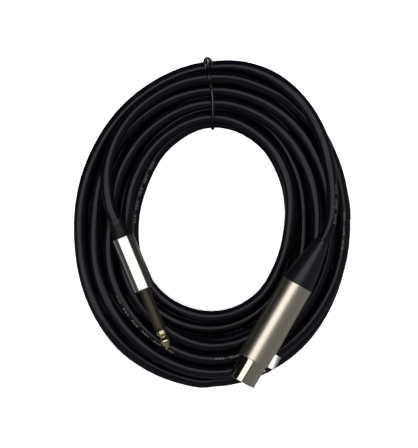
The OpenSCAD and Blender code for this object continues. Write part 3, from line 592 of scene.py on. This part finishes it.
# Down from the shoulder into the neck, up over the swell and down the cone.
TIP_SIDE = [
    (69.0, PLUG_R, 0.3), (70.1, 2.225, 0.5), (70.7, 2.125, 0.6), (71.4, 2.375, 0.6),
    (72.7, 3.075, 0.5), (73.3, PLUG_R, 0.4), (73.9, 3.025, 0.5), (77.1, 1.15, 0.5)]

# Brass, turned and gilt: pale gold, nearly a mirror.
gilt = finish("gilt_brass", "d8c99e", "e4d6ae", (0.12, 0.22), patch=6.7, grain=0.83,
              relief=0.004, shading={"Metallic": 1})
tip = turned("jack_plug_tip", [
    (ROD_FROM, 0), (ROD_FROM, RIVET_R, 0.2), (ROD_FROM + RIVET_LEN, RIVET_R, 0.1),
    (ROD_FROM + RIVET_LEN, ROD_R), (TIP_FROM, ROD_R), (TIP_FROM, TIP_BACK_R, 0.1),
    (TIP_FROM + TIP_BEVEL, PLUG_R, 0.2), *TIP_SIDE, (POINT_FROM, POINT_R, 0.3), (TIP_TO, 0)],
    IN_JACK, gilt, radius=0.1, segments=80, steps=4)
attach(tip, "cable")
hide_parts("jack_tip")


# ---- jack insulator: the tube round the tip's rod, with the ring that shows as a dark
# line behind the tip, turned from acetal ----

TUBE_FROM, TUBE_R, TUBE_BORE, RING_FROM, RING_R = 35.7, 2.0, 1.2, 65.6, 2.92

# Acetal, turned: black, waxy and half matt.
acetal = finish("black_acetal", "08080a", "0c0c0e", (0.3, 0.4), patch=12.5, grain=0.67,
                relief=0.01)
insulator = turned("jack_plug_ring", [
    (TUBE_FROM, TUBE_BORE), (TUBE_FROM, TUBE_R), (RING_FROM, TUBE_R), (RING_FROM, RING_R, 0.1),
    (TIP_FROM, RING_R, 0.1), (TIP_FROM, TUBE_BORE)], IN_JACK, acetal, radius=0.05, segments=64)
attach(insulator, "cable")
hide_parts("jack_insulator")


# ---- jack sleeve: the plug's shaft, with the threaded collar that the barrel screws on
# to behind it, turned in one from brass ----

COLLAR_END, THREAD_R, THREAD_FROM, SPIGOT_R = 42.2, 5.55, 37.7, 5.15
SLEEVE_FROM, SLEEVE_BORE = TUBE_FROM + 0.5, 2.05

# Black nickel under a clear lacquer: dark brown-grey, with a sharp gloss over a softer one.
dark_nickel = finish("black_nickel", "29241c", "3b342a", (0.16, 0.28), patch=3.8, grain=0.83,
                     relief=0.004, shading={
                         "Metallic": 0.5, "Specular IOR Level": 0.1, "Coat Weight": 1,
                         "Coat Roughness": 0.06, "Coat IOR": 1.23})
sleeve = turned("jack_plug_sleeve", [
    (SLEEVE_FROM, SLEEVE_BORE), (SLEEVE_FROM, SPIGOT_R), (THREAD_FROM, SPIGOT_R),
    (THREAD_FROM, THREAD_R), (COLLAR_END, THREAD_R), (COLLAR_END, PLUG_R, 0.05),
    (RING_FROM, PLUG_R, 0.25), (RING_FROM, SLEEVE_BORE)], IN_JACK, dark_nickel, radius=0.1)
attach(sleeve, "cable")
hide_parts("jack_sleeve")


# ---- inside the barrel: a washer, the two solder lugs riveted over it, the core and the
# shield soldered to them, and a loose liner that keeps them off the metal ----

# Vulcanised fibre, stamped: red-brown and matt, with a visible flock.
dress(finish("fibre_board", "6b3f27", "7d4d31", (0.6, 0.8), patch=3.3, grain=0.4, relief=0.04),
      "jack_washer")
# Brass, stamped and tinned: a pale, slightly yellow grey.
dress(finish("tinned_brass", "aba48f", "b9b29d", (0.25, 0.38), patch=5.6, grain=0.67,
             relief=0.008, shading={"Metallic": 1}), "jack_tip_lug", "jack_ground_lug")
dress(red_core, "jack_wire_tip")
dress(bare_copper, "jack_wire_shield")
# Polythene, extruded with no pigment: milky, waxy and soft edged.
dress(finish("natural_polythene", "c9c5b5", "d6d2c4", (0.4, 0.55), patch=17, grain=1.1,
             relief=0.01), "jack_liner")


# ---- jack barrel: the smooth grip, a brass tube turned, polished and chromed, with a
# thread inside its front end that screws on to the sleeve's collar ----

BARREL_FROM, BARREL_R, BARREL_BORE, BARREL_HOLE = 10.7, 6.5, 5.6, 4.66
LIP = 1.5

# Chrome plate on polished brass: a cool mirror, softened a little.
chrome = finish("polished_chrome", "cfceca", "d6d5d1", (0.04, 0.09), patch=33, grain=1.4,
                relief=0.002, shading={"Metallic": 1})
barrel = turned("jack_barrel_tube", [
    (BARREL_FROM, BARREL_HOLE, 0.15), (BARREL_FROM, BARREL_R, 0.35),
    (COLLAR_END, BARREL_R, 0.35), (COLLAR_END, BARREL_BORE, 0.15),
    (BARREL_FROM + LIP, BARREL_BORE), (BARREL_FROM + LIP, BARREL_HOLE)],
    IN_JACK, chrome, radius=0.1)
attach(barrel, "jack_barrel")
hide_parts("jack_barrel")


# ---- jack boot: the strain relief, moulded in soft PVC: a plain mouth, bored wide so that
# it slides back over the cable's bend, five ribs that grow along its cone, and a flange
# that the barrel's lip holds from inside ----

MOUTH_LEN, MOUTH_R, BOOT_SLOPE = 3.1, 4.05, 0.1455
MOUTH_BORE, BORE_STEP = 3.62, (5, 5.5)
RIBS, RIB_FIRST, RIB_PITCH = 5, 4.1, 1.4
RIB_W, RIB_H, RIB_EDGE, RIB_DEEP = 0.8, 0.75, 0.3, 0.5
END_GAP, HOLE_GAP = 0.05, 0.06
FLANGE_R, FLANGE_TO = 5.55, 15.15


def cone_r(x):
    """The boot's radius at a distance from its mouth."""
    return MOUTH_R + BOOT_SLOPE * x


def node_tree(name, sizes):
    """A tree for shapes, with a named input for each of its sizes."""
    tree = bpy.data.node_groups.new(name, "GeometryNodeTree")
    sockets = tree.interface
    sockets.new_socket("Geometry", in_out="INPUT", socket_type="NodeSocketGeometry")
    for size, kind in sizes.items():
        sockets.new_socket(size, in_out="INPUT", socket_type="NodeSocket" + kind)
    sockets.new_socket("Geometry", in_out="OUTPUT", socket_type="NodeSocketGeometry")
    return tree, add(tree, "NodeGroupInput").outputs


def grow(piece, tree, values, sharp):
    """Runs a tree on a piece with these values in its inputs, and keeps the mesh."""
    shaping = piece.modifiers.new(tree.name, "NODES")
    shaping.node_group = tree
    for socket in tree.interface.items_tree:
        if socket.in_out == "INPUT" and socket.name in values:
            shaping[socket.identifier] = values[socket.name]
    bake(piece, sharp)
    piece.data.materials.clear()
    piece.data.materials.append(values["Material"])
    piece.data.polygons.foreach_set("material_index", [0] * len(piece.data.polygons))


# Rings of one rounded section are set along X, each larger than the last by the growth.
rib_tree, given = node_tree("moulded_ribs", {
    "Ribs": "Int", "First": "Float", "Pitch": "Float", "Radius": "Float", "Growth": "Float",
    "Width": "Float", "Height": "Float", "Rounding": "Float", "Material": "Material"})
first_at = add(rib_tree, "ShaderNodeCombineXYZ", {}, {"X": given["First"]})
one_on = add(rib_tree, "ShaderNodeCombineXYZ", {}, {"X": given["Pitch"]})
places = add(rib_tree, "GeometryNodeMeshLine", {"mode": "OFFSET"}, {
    "Count": given["Ribs"], "Start Location": first_at.outputs[0], "Offset": one_on.outputs[0]})
round_line = add(rib_tree, "GeometryNodeCurvePrimitiveCircle", {"Resolution": 96},
                 {"Radius": given["Radius"]})
block = add(rib_tree, "GeometryNodeCurvePrimitiveQuadrilateral", {},
            {"Width": given["Height"], "Height": given["Width"]})
soft_block = add(rib_tree, "GeometryNodeFilletCurve", {"mode": "POLY", "Count": 4},
                 {"Curve": block.outputs[0], "Radius": given["Rounding"]})
hoop = add(rib_tree, "GeometryNodeCurveToMesh", {}, {
    "Curve": round_line.outputs["Curve"], "Profile Curve": soft_block.outputs[0]})
upright = add(rib_tree, "GeometryNodeTransform", {"Rotation": (0, math.radians(90), 0)},
              {"Geometry": hoop.outputs[0]})
larger = add(rib_tree, "ShaderNodeMath", {"operation": "MULTIPLY_ADD", 2: 1.0}, {
    0: add(rib_tree, "GeometryNodeInputIndex").outputs[0], 1: given["Growth"]})
swell = add(rib_tree, "ShaderNodeCombineXYZ", {"X": 1.0},
            {"Y": larger.outputs[0], "Z": larger.outputs[0]})
ribs = add(rib_tree, "GeometryNodeInstanceOnPoints", {}, {
    "Points": places.outputs[0], "Instance": upright.outputs[0], "Scale": swell.outputs[0]})
ribbed = add(rib_tree, "GeometryNodeJoinGeometry", {},
             {"Geometry": [given["Geometry"], ribs.outputs[0]]})
solid = add(rib_tree, "GeometryNodeRealizeInstances", {}, {"Geometry": ribbed.outputs[0]})
black = add(rib_tree, "GeometryNodeSetMaterial", {}, {
    "Geometry": solid.outputs[0], "Material": given["Material"]})
add(rib_tree, "NodeGroupOutput", {}, {"Geometry": black.outputs[0]})

# Soft PVC, moulded: black, duller than the jacket, with a fine etched grain.
rubber = finish("moulded_pvc", "08070b", "0e0d12", (0.3, 0.42), patch=20, grain=0.71,
                relief=0.01, shading={"Specular IOR Level": 0.35})

jack_boot = turned("jack_boot_sleeve", [
    (0, MOUTH_BORE, 0.15), (0, MOUTH_R, 0.3), (MOUTH_LEN, cone_r(MOUTH_LEN), 0.2),
    (MOUTH_LEN + 0.1, cone_r(MOUTH_LEN) - RIB_DEEP),
    (BARREL_FROM - END_GAP, cone_r(BARREL_FROM) - RIB_DEEP),
    (BARREL_FROM - END_GAP, BARREL_HOLE - HOLE_GAP),
    (BARREL_FROM + LIP + END_GAP, BARREL_HOLE - HOLE_GAP),
    (BARREL_FROM + LIP + END_GAP, FLANGE_R),
    (FLANGE_TO, FLANGE_R), (FLANGE_TO, BOOT_BORE), (BORE_STEP[1], BOOT_BORE),
    (BORE_STEP[0], MOUTH_BORE)],
    Matrix.Identity(4), rubber, radius=0.12, steps=2)
grow(jack_boot, rib_tree, {
    "Ribs": RIBS, "First": RIB_FIRST * MM, "Pitch": RIB_PITCH * MM,
    "Radius": (cone_r(RIB_FIRST) - RIB_H / 2) * MM,
    "Growth": BOOT_SLOPE * RIB_PITCH / cone_r(RIB_FIRST),
    "Width": RIB_W * MM, "Height": RIB_H * MM, "Rounding": RIB_EDGE * MM,
    "Material": rubber}, SHARP_EDGE)
jack_boot.data.transform(Matrix.Translation(JACK_AT * MM) @ Matrix.Rotation(JACK_TURN, 4, "Z"))
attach(jack_boot, "jack_boot")
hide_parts("jack_boot")


# ---- twist tie: a plastic ribbon with a wire along its middle, bent by hand round the
# bundle. It dips between the leads, and its two ends are twisted and folded over ----

# Its plane has X outwards from the middle of the ring and Y upwards.
TIE_X, TIE_TURN = 6.0, math.radians(6)
IN_TIE = (Matrix.Translation((TIE_X, 0, 0)) @ Matrix.Rotation(TIE_TURN, 4, "Z")
          @ Matrix(((0, 0, 1, 0), (1, 0, 0, 0), (0, 1, 0, 0), (0, 0, 0, 1))))
# The two leads go through that plane here.
LEADS_THERE = [Vector((86.6, 11.9)), Vector((80.8, 16.45))]
TIE_W, RIDGE_H, BACK_H, RIBBON_EDGE = 2.4, 0.76, 0.2, 0.1
WIRE_R, WIRE_LIFT = 0.5, 0.24
TIE_GAP, RIM_SIDES, RIM_STEP = 0.65, 60, 0.9
# Over the loops, above this height, it dips inside the leads and bows to one side.
TIE_TOP, TOP_SPAN = 6, 5
DIP, DIP_FROM, DIP_IN = 2.2, 64, 10
DIP_TO, DIP_OUT = 80, 4
BOW, BOW_AT, BOW_SPAN = 1.5, 71, 21
# Its two ends go round each other along this line, by so much in all.
TWIST = [Vector(p) for p in (
    (-3.1, 84.9, 16.9), (-3.5, 86.8, 17.2), (-4, 88.9, 17), (-3.8, 90.4, 16.5),
    (-2.7, 91.2, 16.4), (-1.3, 90.4, 16.7), (-0.5, 88.8, 17), (-0.6, 87.2, 17.5),
    (-1.6, 86.6, 18.5), (-2.4, 87.8, 19.1), (-2.4, 89.4, 18.8))]
TWIST_BY, TWIST_APART, TWIST_SIZE, TWIST_STEP = math.radians(900), 0.3, 0.9, 0.35


def tie_crosses(loop):
    """Where a loop goes through the tie's own plane: across it and up, in millimetres."""
    side = TIE_X * math.cos(TIE_TURN)
    start = coil_at(loop)
    turn = loop + (math.asin(side / math.hypot(start.x, start.y)) - TIE_TURN) / (2 * math.pi)
    p = coil_at(turn)
    r = math.hypot(p.x, p.y)
    return Vector((math.sqrt(r * r - side * side) + TIE_X * math.sin(TIE_TURN), p.z))


def hull(points):
    """The convex outline of flat points, counter-clockwise."""
    points = sorted(points)
    halves = []
    for order in (points, points[::-1]):
        half = []
        for p in order:
            while len(half) > 1 and ((half[-1][0] - half[-2][0]) * (p[1] - half[-2][1])
                                     - (half[-1][1] - half[-2][1]) * (p[0] - half[-2][0])) <= 0:
                half.pop()
            half.append(p)
        halves += half[:-1]
    return halves


def even(points, step):
    """Points about step apart round a closed line."""
    points = points + points[:1]
    reach = [0.0]
    for a, b in zip(points, points[1:]):
        reach.append(reach[-1] + (b - a).length)
    n = round(reach[-1] / step)
    out, j = [], 0
    for i in range(n):
        s = reach[-1] * i / n
        while j < len(reach) - 2 and reach[j + 1] < s:
            j += 1
        out.append(points[j].lerp(points[j + 1], (s - reach[j]) / (reach[j + 1] - reach[j])))
    return out


# Two sections, a low roof and the wire under its ridge, are swept along each line. Two
# attributes of the lines say which way the ridge faces and how large the sections are.
ribbon_tree, given = node_tree("wired_ribbon", {
    "Width": "Float", "Ridge": "Float", "Back": "Float", "Rounding": "Float",
    "Wire Radius": "Float", "Wire Lift": "Float", "Material": "Material"})
bends = add(ribbon_tree, "GeometryNodeMeshToCurve", {}, {"Mesh": given["Geometry"]})
outwards = add(ribbon_tree, "GeometryNodeInputNamedAttribute",
               {"data_type": "FLOAT_VECTOR", "Name": "outwards"})
faced = add(ribbon_tree, "GeometryNodeSetCurveNormal", {"mode": "FREE"}, {
    "Curve": bends.outputs[0], "Normal": outwards.outputs["Attribute"]})
kite = add(ribbon_tree, "GeometryNodeCurvePrimitiveQuadrilateral", {"mode": "KITE"}, {
    "Width": given["Width"], "Top Height": given["Ridge"], "Bottom Height": given["Back"]})
soft_kite = add(ribbon_tree, "GeometryNodeFilletCurve",
                {"mode": "POLY", "Count": 3, "Limit Radius": True},
                {"Curve": kite.outputs[0], "Radius": given["Rounding"]})
roof = add(ribbon_tree, "GeometryNodeTransform", {"Rotation": (0, 0, math.radians(-90))},
           {"Geometry": soft_kite.outputs[0]})
wire = add(ribbon_tree, "GeometryNodeCurvePrimitiveCircle", {"Resolution": 16},
           {"Radius": given["Wire Radius"]})
lift = add(ribbon_tree, "ShaderNodeCombineXYZ", {}, {"X": given["Wire Lift"]})
wire_on = add(ribbon_tree, "GeometryNodeTransform", {},
              {"Geometry": wire.outputs["Curve"], "Translation": lift.outputs[0]})
section = add(ribbon_tree, "GeometryNodeJoinGeometry", {},
              {"Geometry": [roof.outputs[0], wire_on.outputs[0]]})
size = add(ribbon_tree, "GeometryNodeInputNamedAttribute", {"data_type": "FLOAT", "Name": "size"})
swept = add(ribbon_tree, "GeometryNodeCurveToMesh", {"Fill Caps": True}, {
    "Curve": faced.outputs[0], "Profile Curve": section.outputs[0],
    "Scale": size.outputs["Attribute"]})
solid = add(ribbon_tree, "GeometryNodeRealizeInstances", {}, {"Geometry": swept.outputs[0]})
black = add(ribbon_tree, "GeometryNodeSetMaterial", {}, {
    "Geometry": solid.outputs[0], "Material": given["Material"]})
add(ribbon_tree, "NodeGroupOutput", {}, {"Geometry": black.outputs[0]})

strands = [tie_crosses(loop) for loop in range(1, 9)] + LEADS_THERE
rim = even([Vector((x, y, 0)) for x, y in hull([
    p for strand in strands
    for p in circle(strand.x, strand.y, CABLE_R + TIE_GAP, RIM_SIDES)])], RIM_STEP)
for p in rim:
    p.y = max(p.y, RIDGE_H)
    if p.y > TIE_TOP:
        p.y -= DIP * smooth((DIP_TO - p.x) / DIP_OUT) * smooth((p.x - DIP_FROM) / DIP_IN)
        p.z = (BOW * smooth(1 - abs(p.x - BOW_AT) / BOW_SPAN)
               * smooth((p.y - TIE_TOP) / TOP_SPAN))
points, ways, sizes, joins = [], [], [], []
for i, p in enumerate(rim):
    forward = (rim[(i + 1) % len(rim)] - rim[i - 1]).normalized()
    points.append(IN_TIE @ p)
    ways.append(IN_TIE.to_3x3() @ Vector((forward.y, -forward.x, 0)).normalized())
    sizes.append(1.0)
    joins.append((i, (i + 1) % len(rim)))
twist_line = through(TWIST, TWIST_STEP)
last = len(twist_line) - 1
for half in (0, 1):
    for i, p in enumerate(twist_line):
        side, up = section_axes(travel(twist_line, i))
        a = TWIST_BY * i / last + math.pi * half
        ways.append(math.cos(a) * side + math.sin(a) * up)
        points.append(p + ways[-1] * TWIST_APART)
        sizes.append(TWIST_SIZE)
        if i:
            joins.append((len(points) - 2, len(points) - 1))
lines = bpy.data.meshes.new("twist_tie")
lines.from_pydata([p * MM for p in points], joins, [])
lines.attributes.new("outwards", "FLOAT_VECTOR", "POINT").data.foreach_set(
    "vector", [c for way in ways for c in way])
lines.attributes.new("size", "FLOAT", "POINT").data.foreach_set("value", sizes)
tie = bpy.data.objects.new("twist_tie", lines)
bpy.context.scene.collection.objects.link(tie)
# PVC over a wire, extruded: black and glossy, so that the wire's ridge catches the light.
tie_black = finish("wired_pvc", "030304", "060608", (0.12, 0.2), patch=8.3, grain=0.67,
                   relief=0.004, shading={"Specular IOR Level": 0.5, "Coat Weight": 1,
                                          "Coat Roughness": 0.06, "Coat IOR": 1.6})
grow(tie, ribbon_tree, {
    "Width": TIE_W * MM, "Ridge": RIDGE_H * MM, "Back": BACK_H * MM,
    "Rounding": RIBBON_EDGE * MM, "Wire Radius": WIRE_R * MM,
    "Wire Lift": WIRE_LIFT * MM, "Material": tie_black}, SHARP_IF_BENT)
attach(tie, "cable")
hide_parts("tie")


# ---- length marks: plain numbers that the cable maker prints along the jacket, to tell
# how much is left on the reel ----

# Each row of numbers: the place of its middle, how near to it the strand has to pass, how
# far from the top of the jacket it is printed, and how many numbers it has.
MARKS = ((-41, 17, 2.6, 1.4, 5), (-41, -57.5, 2.6, -1.1, 6), (74.5, -5, 3, 0.9, 3),
         (6, -78.5, 3, 0.9, 2), (66.8, 8, 3, -1.6, 3))
MARK_SIZE, MARK_STEP, MARK_LIFT = 1.5, 8, 0.03
FIRST_NUMBER, SAME_LAYER = 101, 2


def strand_under(x, y, reach):
    """The length along the cable of the highest strand whose middle is near a place."""
    near = [(math.hypot(p.x - x, p.y - y), p.z, i) for i, p in enumerate(cable_line)]
    level = max(z for d, z, i in near if d < reach) - SAME_LAYER
    return cable_reach[min((d, i) for d, z, i in near if z > level)[1]]


def on_jacket(s, around):
    """A point just over the jacket, s along the cable and around mm from its top."""
    i = max(1, next((k for k, d in enumerate(cable_reach) if d >= s), len(cable_reach) - 1))
    u = (s - cable_reach[i - 1]) / (cable_reach[i] - cable_reach[i - 1])
    centre = cable_line[i - 1].lerp(cable_line[i], u)
    side, up = section_axes(
        travel(cable_line, i - 1).lerp(travel(cable_line, i), u).normalized())
    a = around / CABLE_R
    return centre + (side * math.sin(a) + up * math.cos(a)) * (CABLE_R + MARK_LIFT)


bm = bmesh.new()
number = FIRST_NUMBER
for x, y, reach, across, count in MARKS:
    start = strand_under(x, y, reach) - count * MARK_STEP / 2
    for k in range(count):
        words = bpy.data.curves.new("number", "FONT")
        words.body = "%04d %02d" % (number, number % 60)
        words.size = MARK_SIZE
        holder = bpy.data.objects.new("number", words)
        bpy.context.scene.collection.objects.link(holder)
        bpy.context.view_layer.update()
        flat = bpy.data.meshes.new_from_object(holder)
        verts = [bm.verts.new(on_jacket(start + k * MARK_STEP + v.co.x, across - v.co.y) * MM)
                 for v in flat.vertices]
        for face in flat.polygons:
            bm.faces.new([verts[i] for i in face.vertices])
        bpy.data.objects.remove(holder)
        number += 1
# Printing ink on PVC: a warm grey, thin and matt, so that some of the black shows through.
ink = finish("worn_ink", "58544a", "938e80", (0.5, 0.7), patch=0.67, grain=0.33, relief=0)
marks = piece_from("length_marks", bm, ink)
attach(marks, "cable")


# ---- table and studio: a sheet of white paper, one long softbox overhead, and eight suns
# all round that only light matt surfaces, so that no shadow falls one way ----

PAPER_HALF, PAPER_Z = 4, -0.0002
PAPER_SEEN, PAPER_LIT = 2.1, "a8a8a8"
# A painted shadow on the floor beside the XLR shell, which only metal sees in its reflections:
# its middle, the radii that it fades between, and the floor's greys in it and clear of it.
PAINTED_SHADE_AT, PAINTED_SHADE_R, PAINTED_SHADE_GREY = (0.008, -0.034, 0), (0.022, 0.04), (0.01, 0.17)
# The ring's hole and its outer edge: the middle, the half width and length, and where the
# paper turns white, as shares of those. Between them, under the loops, the paper is painted in
# shade to the camera.
HOLE = ((-0.00125, 0.00175, 0), (0.03975, 0.05125, 1), (1.06, 1.14))
OUTSIDE = ((0, -0.002, 0), (0.0773, 0.0915, 1), (0.92, 0.97))
SOFTBOX_AT, SOFTBOX_AIM = (-0.2155, 0.1265, 0.9), (-0.138, -0.058, 0)
SOFTBOX_ALONG, SOFTBOX_SIZE, SOFTBOX_POWER = (0.922, 0.386, 0), (2.08, 0.6), 6.0
SUNS, SUN_OUT, SUN_H = 8, 1.6, 1.15
SUN_POWER, SUN_SPREAD = 0.725, math.radians(30)
# Which way the room's light side lies, the cosines to it between which the room turns
# from dark to light, and its two greys. The floor's painted shade, as metal sees it, turns between
# those of DARK_END.
ROOM_SIDE, ROOM_FADE, ROOM_GREY = (0.35, -0.94, 0), (-0.15, 0.25), (0.01, 0.2)
DARK_END = (-0.6, -0.25)

bm = bmesh.new()
bmesh.ops.create_grid(bm, x_segments=1, y_segments=1, size=PAPER_HALF)
bmesh.ops.translate(bm, verts=bm.verts, vec=(0, 0, PAPER_Z))
# Paper: white to the camera, and a plain grey to everything that it lights. Metal sees it
# as the studio's floor with painted shade on it, darker towards the room's dark end and darkest
# in a painted shadow beside the XLR shell. Under the loops the camera sees it in painted shade,
# the plain grey instead of white, so that the slits between them stay dark.
paper = bpy.data.materials.new("white_paper")
paper.use_nodes = True
tree = paper.node_tree
tree.nodes.clear()
rays = add(tree, "ShaderNodeLightPath").outputs
here = add(tree, "ShaderNodeTexCoord").outputs["Object"]
# Painted shade on the floor for metal's reflections: a shadow spot beside the XLR shell and a
# darker side.
apart = add(tree, "ShaderNodeVectorMath", {"operation": "DISTANCE", 1: PAINTED_SHADE_AT}, {0: here})
heading = add(tree, "ShaderNodeVectorMath", {"operation": "NORMALIZE"}, {0: here})
lit_end = add(tree, "ShaderNodeVectorMath", {"operation": "DOT_PRODUCT", 1: ROOM_SIDE},
              {0: heading.outputs[0]})
grey = add(tree, "ShaderNodeMapRange", {
    "interpolation_type": "SMOOTHSTEP", "From Min": DARK_END[0], "From Max": DARK_END[1],
    "To Min": PAINTED_SHADE_GREY[0], "To Max": PAINTED_SHADE_GREY[1]}, {"Value": lit_end.outputs["Value"]})
dark = add(tree, "ShaderNodeMapRange", {
    "interpolation_type": "SMOOTHSTEP", "From Min": PAINTED_SHADE_R[0], "From Max": PAINTED_SHADE_R[1],
    "To Min": PAINTED_SHADE_GREY[0]}, {"Value": apart.outputs["Value"], "To Max": grey.outputs["Result"]})
mirrored = add(tree, "ShaderNodeMix", {"data_type": "RGBA", "A": lin(PAPER_LIT)},
               {"Factor": rays["Is Glossy Ray"], "B": dark.outputs["Result"]})
# Painted shade under the loops: between the hole and the outer edge the camera sees the plain
# grey, not white.
white_from = []
for centre, half, fades in (HOLE, OUTSIDE):
    offset = add(tree, "ShaderNodeVectorMath", {"operation": "SUBTRACT", 1: centre}, {0: here})
    share = add(tree, "ShaderNodeVectorMath", {"operation": "DIVIDE", 1: half},
                {0: offset.outputs[0]})
    reach = add(tree, "ShaderNodeVectorMath", {"operation": "LENGTH"}, {0: share.outputs[0]})
    white_from.append(add(tree, "ShaderNodeMapRange", {
        "interpolation_type": "SMOOTHSTEP", "From Min": fades[0], "From Max": fades[1]},
        {"Value": reach.outputs["Value"]}).outputs["Result"])
in_hole = add(tree, "ShaderNodeMath", {"operation": "SUBTRACT", 0: 1.0}, {1: white_from[0]})
clear = add(tree, "ShaderNodeMath", {"operation": "MAXIMUM"},
            {0: in_hole.outputs[0], 1: white_from[1]})
seen_clear = add(tree, "ShaderNodeMath", {"operation": "MULTIPLY"},
                 {0: clear.outputs[0], 1: rays["Is Camera Ray"]})
seen = add(tree, "ShaderNodeMix", {"data_type": "RGBA", "B": (PAPER_SEEN,) * 3 + (1,)},
           {"Factor": seen_clear.outputs[0], "A": mirrored.outputs["Result"]})
shader = add(tree, "ShaderNodeBsdfPrincipled", {"Roughness": 0.9, "Specular IOR Level": 0},
             {"Base Color": seen.outputs["Result"]})
add(tree, "ShaderNodeOutputMaterial", {}, {"Surface": shader.outputs["BSDF"]})
table = piece_from("floor", bm, paper)


def place_light(name, kind, at, aim, along_x, power):
    """A lamp at a place, turned to another, with its long side along a direction."""
    data = bpy.data.lights.new(name, kind)
    data.energy = power
    light = bpy.data.objects.new(name, data)
    z = (Vector(at) - Vector(aim)).normalized()
    x = Vector(along_x)
    x = (x - z * x.dot(z)).normalized()
    light.matrix_world = Matrix.Translation(at) @ Matrix(
        (x, z.cross(x), z)).transposed().to_4x4()
    bpy.context.scene.collection.objects.link(light)
    return light


softbox = place_light("softbox", "AREA", SOFTBOX_AT, SOFTBOX_AIM, SOFTBOX_ALONG, SOFTBOX_POWER)
softbox.data.shape = "RECTANGLE"
softbox.data.size, softbox.data.size_y = SOFTBOX_SIZE
softbox.visible_diffuse = False
for i in range(SUNS):
    a = math.radians(360 * (i + 0.5) / SUNS)
    sun = place_light("sun_%d" % (i + 1), "SUN",
                      (SUN_OUT * math.cos(a), SUN_OUT * math.sin(a), SUN_H),
                      (0, 0, 0), (0, 0, 1), SUN_POWER)
    sun.data.angle = SUN_SPREAD
    sun.visible_glossy = False

# The room is white to the camera, and grey towards one side for all that it lights.
world = bpy.data.worlds.new("room")
bpy.context.scene.world = world
world.use_nodes = True
tree = world.node_tree
tree.nodes.clear()
facing = add(tree, "ShaderNodeVectorMath", {"operation": "DOT_PRODUCT", 1: ROOM_SIDE},
             {0: add(tree, "ShaderNodeTexCoord").outputs["Generated"]})
rise = add(tree, "ShaderNodeMapRange", {
    "interpolation_type": "SMOOTHSTEP", "From Min": ROOM_FADE[0], "From Max": ROOM_FADE[1],
    "To Min": ROOM_GREY[0], "To Max": ROOM_GREY[1]}, {"Value": facing.outputs["Value"]})
room = add(tree, "ShaderNodeBackground", {}, {"Strength": rise.outputs["Result"]})
white = add(tree, "ShaderNodeBackground", {"Color": (1, 1, 1, 1)})
chosen = add(tree, "ShaderNodeMixShader", {}, {
    "Fac": add(tree, "ShaderNodeLightPath").outputs["Is Camera Ray"],
    1: room.outputs[0], 2: white.outputs[0]})
add(tree, "ShaderNodeOutputWorld", {}, {"Surface": chosen.outputs[0]})
bpy.context.scene.view_settings.view_transform = "Standard"
